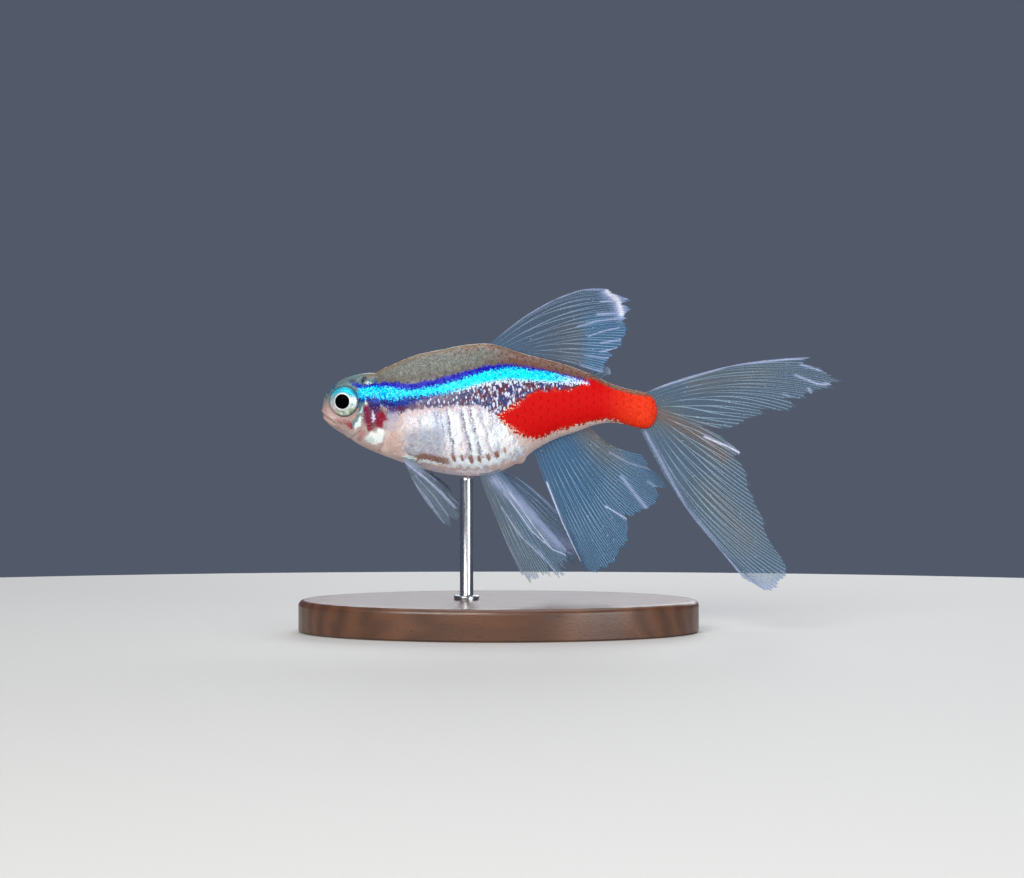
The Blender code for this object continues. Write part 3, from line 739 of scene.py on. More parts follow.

# %% [markdown]
# ## Paint on the head
#
# Over the gill the blood shows red through thin skin, mirror cells leave white and blue blots, and the skull
# is grey and half clear. No formula gives that, so the blots are listed one by one: each is a soft oval with
# its own colour, place, size and turn. Small ripples shake their edges. The colours go into the mesh as
# one colour a point, and the shader adds the fine grain.

# %% Patches of colour on the head and the belly
CRANIUM = display(92, 116, 118)
CHEEK = display(180, 152, 144)
THROAT = display(198, 178, 172)
HEAD_PATCHES = (
    # colour, centre, half sizes, turn in degrees, strength
    ((30, 74, 120), (0.75, 1.60), (0.62, 0.16), 43, 0.8),
    ((58, 112, 128), (2.95, 0.45), (0.26, 0.85), 0, 0.85),
    ((6, 40, 160), (2.68, 1.80), (0.72, 0.14), -22, 0.95),
    ((36, 30, 66), (2.30, 2.10), (0.3, 0.13), -8, 0.8),
    ((120, 100, 62), (3.55, 2.52), (0.5, 0.12), 8, 0.8),
    ((8, 10, 18), (3.16, 2.20), (0.3, 0.2), 20, 1.0),
    ((66, 92, 100), (4.00, 2.06), (0.3, 0.22), 0, 0.8),
    ((196, 214, 204), (3.50, 1.94), (0.27, 0.13), 4, 0.95),
    ((150, 98, 94), (1.72, -0.92), (0.8, 0.24), -18, 0.7),
    ((160, 34, 44), (2.12, -1.16), (0.2, 0.32), 20, 0.9),
    ((86, 130, 134), (2.62, -0.80), (0.2, 0.62), -28, 0.75),
    ((222, 246, 240), (2.78, -1.02), (0.17, 0.56), -28, 1.0),
    ((186, 224, 224), (3.02, -0.02), (0.07, 0.40), -34, 1.0),
    ((84, 34, 66), (3.92, -0.40), (0.86, 1.05), 0, 0.8),
    ((118, 26, 64), (3.44, -0.40), (0.26, 0.74), 6, 1.0),
    ((128, 12, 40), (3.66, -1.20), (0.20, 0.50), -5, 1.0),
    ((26, 24, 92), (3.98, 0.45), (0.46, 0.50), 10, 0.95),
    ((76, 16, 80), (4.12, -0.28), (0.26, 0.60), 0, 0.9),
    ((136, 6, 40), (4.46, -0.74), (0.40, 0.66), -10, 1.0),
    ((222, 214, 240), (3.90, -0.50), (0.09, 0.50), 10, 0.95),
    ((176, 228, 240), (4.50, 0.58), (0.10, 0.44), 22, 0.9),
    ((214, 230, 222), (3.36, 0.70), (0.10, 0.32), -15, 0.9),
    ((176, 104, 108), (2.95, -1.95), (0.26, 0.50), -25, 0.6),
    ((246, 250, 247), (4.06, -2.12), (0.76, 0.48), 4, 1.0),
    ((246, 250, 247), (4.50, -1.70), (0.34, 0.30), -30, 1.0),
    ((198, 224, 214), (3.70, -2.25), (0.3, 0.24), 0, 0.8),
    ((206, 166, 160), (3.90, -3.00), (1.2, 0.26), -28, 0.5),
    ((58, 26, 104), (5.50, 0.12), (0.62, 0.40), 0, 0.9),
    ((76, 14, 56), (6.05, 0.12), (0.45, 0.26), 0, 0.85),
    ((52, 34, 92), (6.70, 0.28), (0.50, 0.34), 0, 0.8),
    ((96, 62, 92), (7.35, 0.20), (0.45, 0.26), 0, 0.6),
    ((128, 130, 184), (5.30, -0.55), (0.45, 0.50), 0, 0.6),
    ((196, 184, 196), (5.10, -1.20), (0.50, 0.50), 0, 0.5),
    ((204, 152, 122), (5.50, -2.50), (0.75, 0.95), 0, 0.5),
    ((196, 190, 198), (5.60, -0.90), (0.65, 0.75), 0, 0.5),
    ((236, 246, 238), (6.55, -3.62), (0.62, 0.26), -10, 0.9),
    # pale rim under the belly: its own colour, laid brighter still as painted light against the underside's
    # shade
    ((255, 244, 252), (11.3, -4.76), (2.8, 0.26), 0, 0.95),
    ((232, 222, 236), (8.60, -4.55), (2.1, 0.24), -12, 0.75),
)
RIPPLES = (
    # how far a patch's edge is shaken, and its waves per millimetre along x and z
    (0.045, 1.3, 0.9),
    (0.03, -2.3, 3.1),
    (0.022, 4.7, -2.9),
    (0.028, 3.3, 5.1),
)


def head_paint(x, z):
    """Mix the head's ground colours by height and lay the patches over them; the fourth value is cover."""
    up = fade(z, -0.1, 1.1)[..., None]
    down = fade(z, -2.6, -0.9)[..., None]
    ground = np.array(THROAT) * (1 - down) + np.array(CHEEK) * down
    colour = ground * (1 - up) + np.array(CRANIUM) * up
    cover = 1 - fade(gill_distance(x, z), -0.35 - 0.9 * fade(z, 1.7, 2.5), 0.25)
    for size, along, upward in RIPPLES:
        wave = 2 * np.pi * (along * x + upward * z)
        x, z = x + size * np.sin(wave), z + size * np.cos(wave + along)
    for tone, centre, half, turn, strength in HEAD_PATCHES:
        angle = np.radians(turn)
        dx, dz = x - centre[0], z - centre[1]
        across = (dx * np.cos(angle) + dz * np.sin(angle)) / half[0]
        upward = (dz * np.cos(angle) - dx * np.sin(angle)) / half[1]
        mask = strength * (1 - fade(np.hypot(across, upward), 0.75, 1.15))
        colour = colour * (1 - mask[..., None]) + np.array(display(*tone)) * mask[..., None]
        cover = cover + (1 - cover) * mask
    return np.concatenate([colour[..., :3], cover[..., None]], -1)


print("patches of colour:", len(HEAD_PATCHES))

# %% [markdown]
# ## What the shader is told
#
# The shader can't know where the stripe is. So every point keeps its distances to all edges, its place
# along the body and across the folds, and the head's paint. These are the only numbers that skin and
# scales share. The edges were read a little too low, and one small step sets them all right.

# %% The markings of a point
SEEN_LOWER = 0.08
RED_TIP = 24.0
RED_END = 25.2


def markings(x, z):
    """Everything that the shader has to know of a point, from its place seen from the side."""
    back = body_profile(np.clip(x, 0.0, BODY_LENGTH - STALK_ROUNDING))[0]
    crest, z = back - z, z - SEEN_LOWER
    red = between(x, z, RED_EDGES)
    red = np.where(x > RED_TIP, np.minimum(over(x, z, RED_EDGES, 2), RED_END - x), red)
    return {
        "stripe": between(x, z, STRIPE_EDGES, 1, 4),
        "above": over(x, z, STRIPE_EDGES, 1),
        "indigo": over(x, z, STRIPE_EDGES, 2),
        "foot": over(x, z, STRIPE_EDGES, 3),
        "crest": crest,
        "under": over(x, z, BAND_BOTTOM),
        "silver": between(x, z, SILVER_EDGES),
        "hem": over(x, z, SILVER_EDGES, 2),
        "red": red,
        "rear": x,
        "pleat": pleats(x, z),
        "paint": head_paint(x, z),
    }


print("kept for each point:", ", ".join(markings(np.array([10.0]), np.array([0.0]))))

# %% [markdown]
# ## How the colours are put together
#
# The living colours are laid over each other from the quietest to the brightest: olive back, dark band,
# silver belly, red patch, painted head and neon stripe. Each gets a short function of its own, and one
# node group holds them all. The grain comes from fine noise and from tiny cells, the size of the crystals
# that glitter in the stripe.
#
# The back comes first. Its black and yellow pigment cells mix to an olive grey, with a golden line on the
# crest and brown towards the stripe and the tail.

# %% The back
OLIVE = display(122, 126, 122)
OLIVE_DARK = display(92, 92, 86)
OLIVE_LIGHT = display(186, 184, 168)
CREST_GOLD = display(150, 116, 70)
CREST_BROWN = display(112, 52, 34)
BACK_BROWN = display(88, 74, 62)


def back_colours(w, fine, cloud, chance):
    """Olive grey grains, a golden line on the crest, and brown that takes over towards the tail."""
    back = w.blend(w.step(fine, 0.2, 0.75), OLIVE_DARK, OLIVE)
    back = w.blend(w.times(w.step(chance, 0.62, 1.0), 0.42), back, OLIVE_LIGHT)
    low = w.step(w.plus(w.read("above"), w.swing(cloud, 0.8)), 0.9, 0.1)
    back = w.blend(w.times(low, w.scaled(fine, 0.2, 0.9)), back, BACK_BROWN)
    gold = w.step(w.minus(w.read("crest"), w.swing(fine, 0.26)), 0.45, 0.05)
    back = w.blend(w.times(gold, w.scaled(w.step(chance, 0.3, 0.7), 0.3, 0.85)), back, CREST_GOLD)
    spots = w.times(w.step(cloud, 0.5, 0.6), w.step(w.read("crest"), 1.1, 0.2))
    rear = w.along(11.5, 15.0)
    brown = w.most(w.times(spots, 0.85), w.times(rear, 0.8))
    brown = w.times(brown, w.along(8.0, 12.0))
    return w.blend(w.times(brown, w.scaled(fine, 0.4, 1.1), clamp=True), back, CREST_BROWN)


print("the crest's gold has", round(CREST_GOLD[0] / CREST_GOLD[2], 1), "times as much red as blue")

# %% [markdown]
# ## Lines on the silver
#
# Fine creases are much thinner than the mesh can show. As the mesh keeps the place across the folds, the
# shader can draw each crease as a line of any sharpness: painted shade in the crease, a painted highlight on
# the ridge behind it and painted shade on the slope before it. The white lobes at the silver's foot are a
# sine wave in the same way.

# %% Folds and scallops as light and shade


def lit_folds(w, wobble):
    """Three masks a fold: painted shade in its crease, a painted highlight behind, painted shade before it."""
    line, ridge, slope = 0.0, 0.0, 0.0
    place = w.plus(w.read("pleat"), wobble)
    for at, depth in FOLDS:
        off = w.minus(place, at)
        near = w.step(w.maths("ABSOLUTE", off), 0.10, 0.03)
        behind = w.times(w.step(off, 0.05, 0.13), w.step(off, 0.50, 0.22))
        before = w.times(w.step(off, -0.42, -0.08), w.step(off, 0.05, 0.0))
        line = w.most(line, w.times(near, depth))
        ridge = w.most(ridge, w.times(behind, depth))
        slope = w.most(slope, w.times(before, depth))
    reach = w.times(w.step(w.read("hem"), 0.5, 1.1), w.step(w.read("under"), 0.25, -0.35))
    return [w.times(mask, reach) for mask in (line, ridge, slope)]


def lit_scallops(w, shake):
    """White lobes in a row along the silver's foot, and brown notches over the gaps between them."""
    hem = w.plus(w.read("hem"), w.times(shake, 0.8))
    lean = w.plus(w.read("rear"), w.times(hem, 0.25))
    wave = w.maths("SINE", w.times(lean, 2 * np.pi / SCALLOP))
    uneven = w.times(w.maths("SINE", w.times(lean, 3.7)), 0.4)
    wave = w.plus(wave, uneven)
    along = w.times(w.along(9.2, 10.0), w.along(14.2, 13.4))
    middle = w.plus(SCALLOP_LEVEL, w.times(wave, 0.16))
    lobe = w.near(hem, middle, 0.34, 0.2)
    high = w.near(hem, 0.84, 0.36, 0.2)
    notch = w.times(w.step(wave, 0.0, -0.55), high)
    lobe, notch, foot = (w.times(mask, along) for mask in (lobe, notch, w.step(hem, 1.25, 0.95)))
    front = w.times(w.along(6.1, 6.9), w.along(10.2, 9.4))
    brown = w.near(hem, 0.5, 0.32, 0.16)
    line = w.near(hem, 0.14, 0.15, 0.07)
    notch = w.most(notch, w.times(brown, front))
    lobe = w.most(lobe, w.times(line, front))
    return lobe, notch, foot


print("creases drawn by the shader:", len(FOLDS))

# %% [markdown]
# ## The silver belly
#
# The lining of the belly is a mirror of flat crystals. A metal shader would need a bright room to mirror, so
# most of its light is painted: satin grey in front, white behind, with pale tints in upright patches and
# small sparks.

# %% The silver belly
SILVER = display(250, 249, 248)
SILVER_PINK = display(250, 226, 232)
SILVER_BLUE = display(200, 220, 250)
SILVER_YELLOW = display(252, 246, 212)
SILVER_MAUVE = display(186, 160, 182)
SILVER_ROSE = display(204, 172, 180)
SATIN = display(142, 146, 164)
SPARK = display(240, 250, 255)
FOLD_SHADE = display(122, 102, 124)
NOTCH_BROWN = display(132, 84, 54)


def silver_colours(w, fine, chance, shake):
    """Mirror-bright belly: satin grey in front, white behind, with folds, tints and a scalloped foot."""
    upright = w.place((1.0, 1.0, 0.24), (0.0, 0.22, 0.0))
    streak, patch = w.grain(0.3, 3.0, upright), w.grain(1.1, 1.0, upright)
    line, ridge, slope = lit_folds(w, w.swing(w.grain(0.5, 2.0), 0.22))
    satin = w.times(w.along(9.8, 8.7), w.step(w.read("under"), -0.8, -1.9))
    bright = w.scaled(satin, 1.0, 0.25)
    dull = w.most(satin, w.times(w.step(streak, 0.53, 0.36), 0.85))
    # painted shade on the slope before each fold, laid as satin grey
    dull = w.most(dull, slope)
    sheen = w.blend(w.times(w.step(patch, 0.5, 0.62), 0.6), SILVER, SILVER_PINK)
    sheen = w.blend(w.times(w.step(patch, 0.46, 0.34), 0.6), sheen, SILVER_BLUE)
    sheen = w.blend(w.times(w.step(w.grain(0.5, 3.0), 0.56, 0.68), 0.6), sheen, SILVER_YELLOW)
    sheen = w.blend(w.times(dull, w.scaled(fine, 0.5, 1.1), clamp=True), sheen, SATIN)
    top = w.step(w.plus(w.read("under"), w.swing(streak, 0.9)), -0.9, 0.0)
    sheen = w.blend(w.times(top, 0.75), sheen, SILVER_MAUVE)
    gleam = w.times(w.step(streak, 0.56, 0.66), w.times(bright, 0.8))
    sheen = w.blend(gleam, sheen, SPARK)
    # painted highlight on each fold's ridge, then painted shade in its crease
    sheen = w.blend(ridge, sheen, SPARK)
    sheen = w.blend(w.times(line, w.step(w.grain(0.35, 2.0), 0.3, 0.6)), sheen, FOLD_SHADE)
    sheen = w.blend(w.times(w.step(chance, 0.2, 0.0), 0.4), sheen, SILVER_MAUVE)
    gleam = w.times(w.step(chance, 0.76, 0.96), w.times(bright, 0.85))
    sheen = w.blend(gleam, sheen, SPARK)
    lobe, notch, foot = lit_scallops(w, shake)
    sheen = w.blend(w.times(foot, w.scaled(fine, 0.3, 0.9)), sheen, SILVER_ROSE)
    sheen = w.blend(w.times(notch, w.scaled(fine, 0.4, 1.4), clamp=True), sheen, NOTCH_BROWN)
    return w.blend(lobe, sheen, SPARK)


print("satin is", round(SATIN[1] / SILVER[1], 2), "times as bright as silver")

# %% [markdown]
# ## The flank
#
# Between stripe and belly lies a dark band of maroon and indigo, strewn with small bright flecks, each the
# mirror of one scale's edge. Cells that are stretched and slanted give flecks of the right lean.

# %% The flank
BAND_MAROON = display(92, 44, 58)
BAND_INDIGO = display(46, 58, 110)
BAND_GREY = display(118, 106, 128)
FLECK = display(214, 222, 244)
FLESH = display(200, 164, 152)


def flank_colours(w, fine, cloud, chance, shake, flecks):
    """Flesh, the dark band with its flecks under the stripe, and the silver belly over both."""
    flank = w.blend(w.scaled(cloud, 0.0, 0.5), FLESH, SILVER)
    dark = w.blend(w.step(cloud, 0.42, 0.58), BAND_INDIGO, BAND_MAROON)
    dark = w.blend(w.times(w.step(fine, 0.5, 0.75), 0.6), dark, BAND_GREY)
    front = w.along(12.0, 9.0)
    dark = w.blend(w.times(front, w.scaled(fine, 0.1, 0.9)), dark, BAND_GREY)
    blots = w.times(w.step(cloud, 0.46, 0.56), w.along(9.4, 7.6))
    dark = w.blend(w.times(blots, 0.85), dark, NAVY)
    dark = w.blend(w.times(flecks, 0.95), dark, FLECK)
    on_band = w.step(w.plus(w.read("under"), shake), -0.12, 0.2)
    flank = w.blend(on_band, flank, dark)
    jag = w.scaled(w.grain(0.4, 3.0, w.place((1.0, 1.0, 0.5))), -0.95, 0.95)
    edge = w.plus(w.read("silver"), w.plus(jag, shake))
    soft = w.times(w.along(8.2, 6.6), 0.6)
    silver = w.step(edge, w.minus(-0.1, soft), w.plus(0.12, soft))
    silver = w.times(silver, w.step(w.plus(w.read("rear"), jag), 5.2, 6.9))
    return w.blend(silver, flank, silver_colours(w, fine, chance, shake)), silver


print("the silver's foot is", -SILVER_EDGES[3][2], "mm below the axis")

# %% [markdown]
# ## The red patch
#
# The red is pigment, not crystal, so it is even and hardly glossy. It deepens at its rim, has a few painted
# pale glints in front, and warms to orange towards the tail fin.

# %% The red patch
RED = display(200, 0, 0)
RED_DEEP = display(138, 2, 6)
RED_BRIGHT = display(255, 84, 36)


def red_colours(w, fine, chance):
    """Scarlet that deepens at its rim, with orange grains at the front and towards the tail fin."""
    red = w.blend(w.step(w.plus(w.read("red"), w.swing(fine, 0.3)), 0.3, 0.0), RED, RED_DEEP)
    grains = w.times(w.step(chance, 0.6, 0.9), w.step(w.read("red"), 0.4, 0.0))
    rear = w.times(w.scaled(chance, 0.25, 0.85), w.along(20.5, 24.0))
    mottled = w.times(w.most(grains, rear), 0.7, clamp=True)
    red = w.blend(mottled, red, RED_BRIGHT)
    # painted glints: a few pale yellow specks just inside the red's front edge
    front = w.times(w.step(w.read("red"), 0.6, 0.1), w.along(15.6, 13.6))
    return w.blend(w.times(w.step(chance, 0.72, 0.86), front), red, SILVER_YELLOW)


print("the red patch runs from", RED_EDGES[0][0], "to", RED_EDGES[-1][0], "mm")

# %% [markdown]
# ## The neon stripe
#
# The stripe's crystals mirror only blue and green, and change with the angle of the light. Cells of two
# blues and a cyan give the glitter. An indigo rim above and a deep blue foot below come from the distances
# to their edges, and the cyan also carries a little painted glow, which keeps it bright in the shade.

# %% The neon stripe
CYAN = display(0, 214, 246)
CYAN_DEEP = display(0, 130, 226)
CYAN_LIGHT = display(120, 246, 255)
ROYAL = display(8, 62, 178)
NAVY = display(28, 24, 92)
INDIGO = display(16, 8, 158)
INDIGO_LIGHT = display(28, 50, 206)


def neon_colours(w, fine, chance):
    """Cyan grains between an indigo rim and a deep blue foot; also says where the cyan gets its painted glow.
    """
    neon = w.blend(w.step(chance, 0.0, 0.35), CYAN_DEEP, CYAN)
    neon = w.blend(w.times(w.step(chance, 0.85, 1.0), 0.8), neon, CYAN_LIGHT)
    neon = w.blend(w.along(17.0, 19.5), neon, w.blend(chance, INDIGO_LIGHT, SPARK))
    early = w.times(w.along(9.0, 5.0), w.step(chance, 0.7, 0.3))
    neon = w.blend(w.times(early, 0.8), neon, CYAN_DEEP)
    rim = w.step(w.plus(w.read("indigo"), w.swing(fine, 0.5)), -0.08, 0.1)
    neon = w.blend(rim, neon, w.blend(w.step(chance, 0.7, 1.0), INDIGO, INDIGO_LIGHT))
    foot = w.plus(w.read("foot"), w.swing(fine, 0.7))
    deep = w.step(foot, 0.1, -0.1)
    neon = w.blend(deep, neon, w.blend(w.step(chance, 0.45, 0.75), NAVY, ROYAL))
    sparks = w.times(w.step(foot, 0.26, 0.05), w.step(fine, 0.4, 0.55))
    sparks = w.times(sparks, w.scaled(w.along(9.0, 12.0), 0.0, 0.9))
    neon = w.blend(sparks, neon, SPARK)
    on_stripe = w.step(w.plus(w.read("stripe"), w.swing(fine, 0.45)), -0.04, 0.1)
    bright = w.minus(1.0, w.most(rim, deep))
    return neon, on_stripe, w.times(on_stripe, bright)


print("over the belly the stripe is", round(STRIPE_EDGES[7][1] - STRIPE_EDGES[7][4], 2), "mm high")

# %% [markdown]
# ## One coat for skin and scales
#
# Skin and scales have to carry the very same colours, or the scales would show as a pattern. One node group
# does that for both. It only gives out colours and numbers that vary over the surface, so any shader can
# use it, and everything that is the same all over stays on the shader.

# %% Flecks, limits and paint
SMALL_FLECK = 0.13
LARGE_FLECK = 0.24


def bright_flecks(w, slanted):
    """Flecks of two sizes that lean back; the large ones lie only over the rear of the belly."""
    small_chance, small_reach = w.cells(SMALL_FLECK, slanted)
    large_chance, large_reach = w.cells(LARGE_FLECK, slanted)
    small = w.times(w.step(small_chance, 0.42, 0.85), w.step(small_reach, 0.62, 0.38))
    large = w.times(w.step(large_chance, 0.4, 0.7), w.step(large_reach, 0.5, 0.34))
    late = w.times(w.along(11.2, 12.4), w.along(15.6, 14.4))
    return w.most(small, w.times(large, late))


def back_limit(w, shake):
    """Where the back begins: over the stripe, and close to the crest where the stripe has ended."""
    near_crest = w.times(w.minus(0.5, w.read("crest")), w.along(17.0, 18.0))
    near_crest = w.minus(near_crest, w.times(w.along(18.0, 17.0), 9.0))
    upper = w.most(w.read("above"), near_crest)
    return w.step(w.plus(upper, shake), -0.34, -0.2)


def red_limit(w, shake, slanted):
    """Where the red begins: at its own edge, and never on the crest."""
    edge = w.plus(w.read("red"), w.swing(w.grain(0.16, 2.0, slanted), 0.55))
    edge = w.maths("MINIMUM", edge, w.minus(w.plus(w.read("crest"), shake), 0.3))
    return w.step(edge, -0.06, 0.12)


def painted(w, body, fine, chance):
    """Lay the head's paint over the body, with dark grain and a few glints in it."""
    paint = w.add("ShaderNodeAttribute", attribute_name="paint")
    cover = w.step(w.plus(paint.outputs["Alpha"], w.swing(fine, 0.25)), 0.3, 0.7)
    body = w.blend(cover, body, paint.outputs["Color"])
    body = w.blend(w.times(cover, w.step(fine, 0.5, 0.68)), body, w.blend(0.2, body, NAVY))
    glint = w.times(cover, w.step(chance, 0.84, 1.0))
    return w.blend(w.times(glint, 0.15), body, SPARK)


print("flecks of", SMALL_FLECK, "and", LARGE_FLECK, "mm")

# %% The whole coat in one group
FINE_GRAIN = 0.11
CLOUD_GRAIN = 0.45
CRYSTAL = 0.085
BLACK = (0, 0, 0, 1)
GROUP_INPUTS = (("Twinkle", "NodeSocketFloat", 0.5), ("Margin", "NodeSocketFloat", 0.0))
GROUP_OUTPUTS = [(label, "NodeSocketColor") for label in ("Colour", "Glow")]
GROUP_OUTPUTS += [(label, "NodeSocketFloat") for label in ("Metal", "Roughness", "Height", "Wet")]


def colour_group():
    """Lay the colours over one another; each edge is a distance in millimetres, shaken by the grain."""
    group, w, given, result = new_group("living_colours", GROUP_INPUTS, GROUP_OUTPUTS)
    fine, cloud = w.grain(FINE_GRAIN), w.grain(CLOUD_GRAIN, 3.0)
    shake = w.swing(fine, 0.3)
    chance, _ = w.cells(CRYSTAL)
    slanted = w.place((1.0, 1.0, 0.5), (0.0, 0.35, 0.0))
    flank, silver = flank_colours(w, fine, cloud, chance, shake, bright_flecks(w, slanted))
    on_back, on_red = back_limit(w, shake), red_limit(w, shake, slanted)
    neon, on_stripe, glowing = neon_colours(w, fine, chance)
    body = w.blend(on_back, flank, back_colours(w, fine, cloud, chance))
    body = w.blend(on_red, body, red_colours(w, fine, chance))
    body = painted(w, body, fine, chance)
    body = w.blend(on_stripe, body, neon)
    body = w.blend(w.times(given["Margin"], w.scaled(on_back, 0.0, 0.1)), body, BLACK)
    body = w.blend(w.times(w.times(given["Twinkle"], 0.1), silver), body, SPARK)

    dull = w.most(w.minus(1.0, silver), chance)
    w.put(result["Colour"], body)
    w.put(result["Glow"], w.blend(glowing, BLACK, neon))
    w.put(result["Metal"], w.times(w.most(silver, on_stripe), 0.2))
    w.put(result["Roughness"], w.scaled(dull, 0.22, 0.55))
    w.put(result["Height"], w.plus(w.times(fine, 0.5), w.times(chance, 0.5)))
    w.put(result["Wet"], w.scaled(w.most(on_red, w.times(on_stripe, 0.7)), 0.3, 0.0))
    return group


LIVING_COLOURS = colour_group()
print("nodes in the coat:", len(LIVING_COLOURS.nodes))

# %% A wet finish
# painted glow: the stripe's bright cyan gives off a little light of its own, so it stays bright in the shade
NEON_GLOW = 0.2
SKIN_GLOSS = 0.12
COAT_ROUGHNESS = 0.12
CRYSTAL_BUMP = 0.016
COAT_SOCKETS = (
    # on the shader, on the group
    ("Base Color", "Colour"),
    ("Emission Color", "Glow"),
    ("Metallic", "Metal"),
    ("Roughness", "Roughness"),
    ("Coat Weight", "Wet"),
)


def fish_material(name, margin):
    """A wet coat over the living colours; margin says if the mesh has scale edges."""
    material, w, shader = new_material(name)
    coat = w.add("ShaderNodeGroup", node_tree=LIVING_COLOURS)
    if margin:
        w.put(coat.inputs["Twinkle"], w.read("twinkle"))
        w.put(coat.inputs["Margin"], w.read("margin"))
    for socket, output in COAT_SOCKETS:
        w.put(shader[socket], coat.outputs[output])
    w.put(shader["Normal"], w.bump(coat.outputs["Height"], CRYSTAL_BUMP))
    w.put(shader["Emission Strength"], NEON_GLOW)
    w.put(shader["Specular IOR Level"], SKIN_GLOSS)
    w.put(shader["Coat Roughness"], COAT_ROUGHNESS)
    return material


SKIN_FINISH = fish_material("fish_skin", False)
SCALE_FINISH = fish_material("fish_scales", True)

print("finishes:", SKIN_FINISH.name, SCALE_FINISH.name)

# %% [markdown]
# ## The skin
#
# One surface runs from the lips to the root of the tail, where the solids are parted into head, gill
# covers, torso and stalk. Rings of points crowd together on the face and at the rear end, because the
# distance along the body follows a quarter of a sine wave over a bent scale. One point closes each end.

# %% Make the skin
SKIN_RINGS = 420
SKIN_ROUND = 228
SKIN_DEPTH = 0.036
RING_CROWDING = 2.5


def make_skin():
    """Rings of skin_point, closed by a fan of triangles at the snout and at the tail's root."""
    share = np.linspace(0, 1, SKIN_RINGS + 2)[1:-1]
    x = (BODY_LENGTH * np.sin(np.pi / 2 * share**RING_CROWDING))[:, None]
    angle = np.linspace(0, 2 * np.pi, SKIN_ROUND, endpoint=False)[None, :]
    rings = skin_point(x, angle, -SKIN_DEPTH)
    ends = [(0.0, 0.0, STATIONS[0][-1]), (BODY_LENGTH, 0.0, STATIONS[-1][-1])]
    points = np.vstack([rings.reshape(-1, 3), ends])
    faces = [face[::-1] for face in turned_faces(SKIN_RINGS, SKIN_ROUND)]
    skin = add_mesh("skin", to_frame(points), faces)
    set_values(skin, **markings(points[:, 0], points[:, 2]))
    skin.data.materials.append(SKIN_FINISH)
    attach(skin, "root")
    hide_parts("head", "torso", "tail_stalk", "gill_cover_left", "gill_cover_right")
    report(skin)


make_skin()

# %% [markdown]
# ## The scales
#
# A tetra has about thirty-four rows of scales from the gill to the tail. Each is a thin round-edged plate,
# rooted in the skin in front and free behind, and each row is shifted by half a scale, as roof tiles are.
# Copying one plate a thousand times would leave it stiff, so each plate is worked out on the body's own
# curve: its points ask the body where they are, and only then are they lifted.

# %% Where the scales are rooted
SCALE_ROWS = 36
SCALE_FIRST = 3.2
SCALE_LAST = 24.3
ROW_CROWDING = 0.93
SCALE_WIDTH = 0.5
WIDTH_BY_GIRTH = 0.016
SCALE_LENGTH = 0.98
LENGTH_LOSS = 0.02
GIRTH_POINTS = 91


def scale_roots():
    """Rows from gill to tail, with as many scales in a row as the body's girth there has room for."""
    xs, angles, widths, lengths = [], [], [], []
    round_body = np.linspace(0, 2 * np.pi, GIRTH_POINTS)
    along = np.linspace(0, 1, SCALE_ROWS) ** ROW_CROWDING
    for row, x in enumerate(SCALE_FIRST + (SCALE_LAST - SCALE_FIRST) * along):
        ring = body_point(x, round_body)
        girth = np.linalg.norm(np.diff(ring, axis=0), axis=1)
        count = 2 * round(girth.sum() / (SCALE_WIDTH + WIDTH_BY_GIRTH * girth.sum()) / 2)
        places = (np.arange(count) + 0.5 * (row % 2)) / count
        run = np.concatenate([[0], np.cumsum(girth)]) / girth.sum()
        turned = np.interp(places % 1, run, round_body)
        xs.append(np.full(count, x))
        angles.append(turned)
        widths.append(np.full(count, girth.sum() / count))
        lengths.append(np.full(count, SCALE_LENGTH - LENGTH_LOSS * x))
    return [np.concatenate(part) for part in (xs, angles, widths, lengths)]


print("places for scales:", len(scale_roots()[0]))

# %% The shape of the plates
SCALE_ACROSS = 5
SCALE_ALONG = 5
SCALE_LIFT = (-0.047, -0.014)
SCALE_SINK = -0.029
LIFT_CURVE = 0.8
SCALE_DISH = 0.006
ROUND_FROM = 0.45
ROUND_LENGTH = 0.62
END_CURVE = 0.22
OVERLAP = 0.6
SIDE_STEP = 0.02
LEAST_SPEED = 0.12
ACROSS = np.linspace(-1, 1, SCALE_ACROSS)[None, None, :]
ALONG = np.linspace(0, 1, SCALE_ALONG)[None, :, None]


def each(values):
    """One number for each scale, shaped to meet the plate's grid."""
    return values[:, None, None]


def plate_places(x0, a0, width, length):
    """Where the points of every plate lie: how far behind the snout, and at what angle round the body."""
    outline = np.sqrt(np.clip(1 - (np.clip(ALONG - ROUND_FROM, 0, 1) / ROUND_LENGTH) ** 2, 0.05, 1))
    x = each(x0) + each(length) * ALONG * (1 - END_CURVE * ALONG * ACROSS**2)
    aside = body_point(x0, a0 + SIDE_STEP) - body_point(x0, a0 - SIDE_STEP)
    speed = np.linalg.norm(aside, axis=-1) / (2 * SIDE_STEP)
    turn = OVERLAP * each(width) * ACROSS * outline / each(np.maximum(speed, LEAST_SPEED))
    return np.broadcast_arrays(np.clip(x, 0, BODY_LENGTH - 0.05), each(a0) + turn)


def plate_lift(x0, z0, tilt):
    """How high a plate's points lie: the root sinks into the skin, and on the back the end stands free."""
    low, high = SCALE_LIFT
    stripe_top = smooth_curve(x0, *np.array(STRIPE_EDGES)[:, :2].T)
    on_back = each(fade(z0 - stripe_top, -0.2, 0.2))
    high = SCALE_SINK + (high - SCALE_SINK) * on_back
    return low + (high - low) * ALONG**LIFT_CURVE + tilt[0] * ACROSS + tilt[1] * ALONG - SCALE_DISH * ACROSS**2


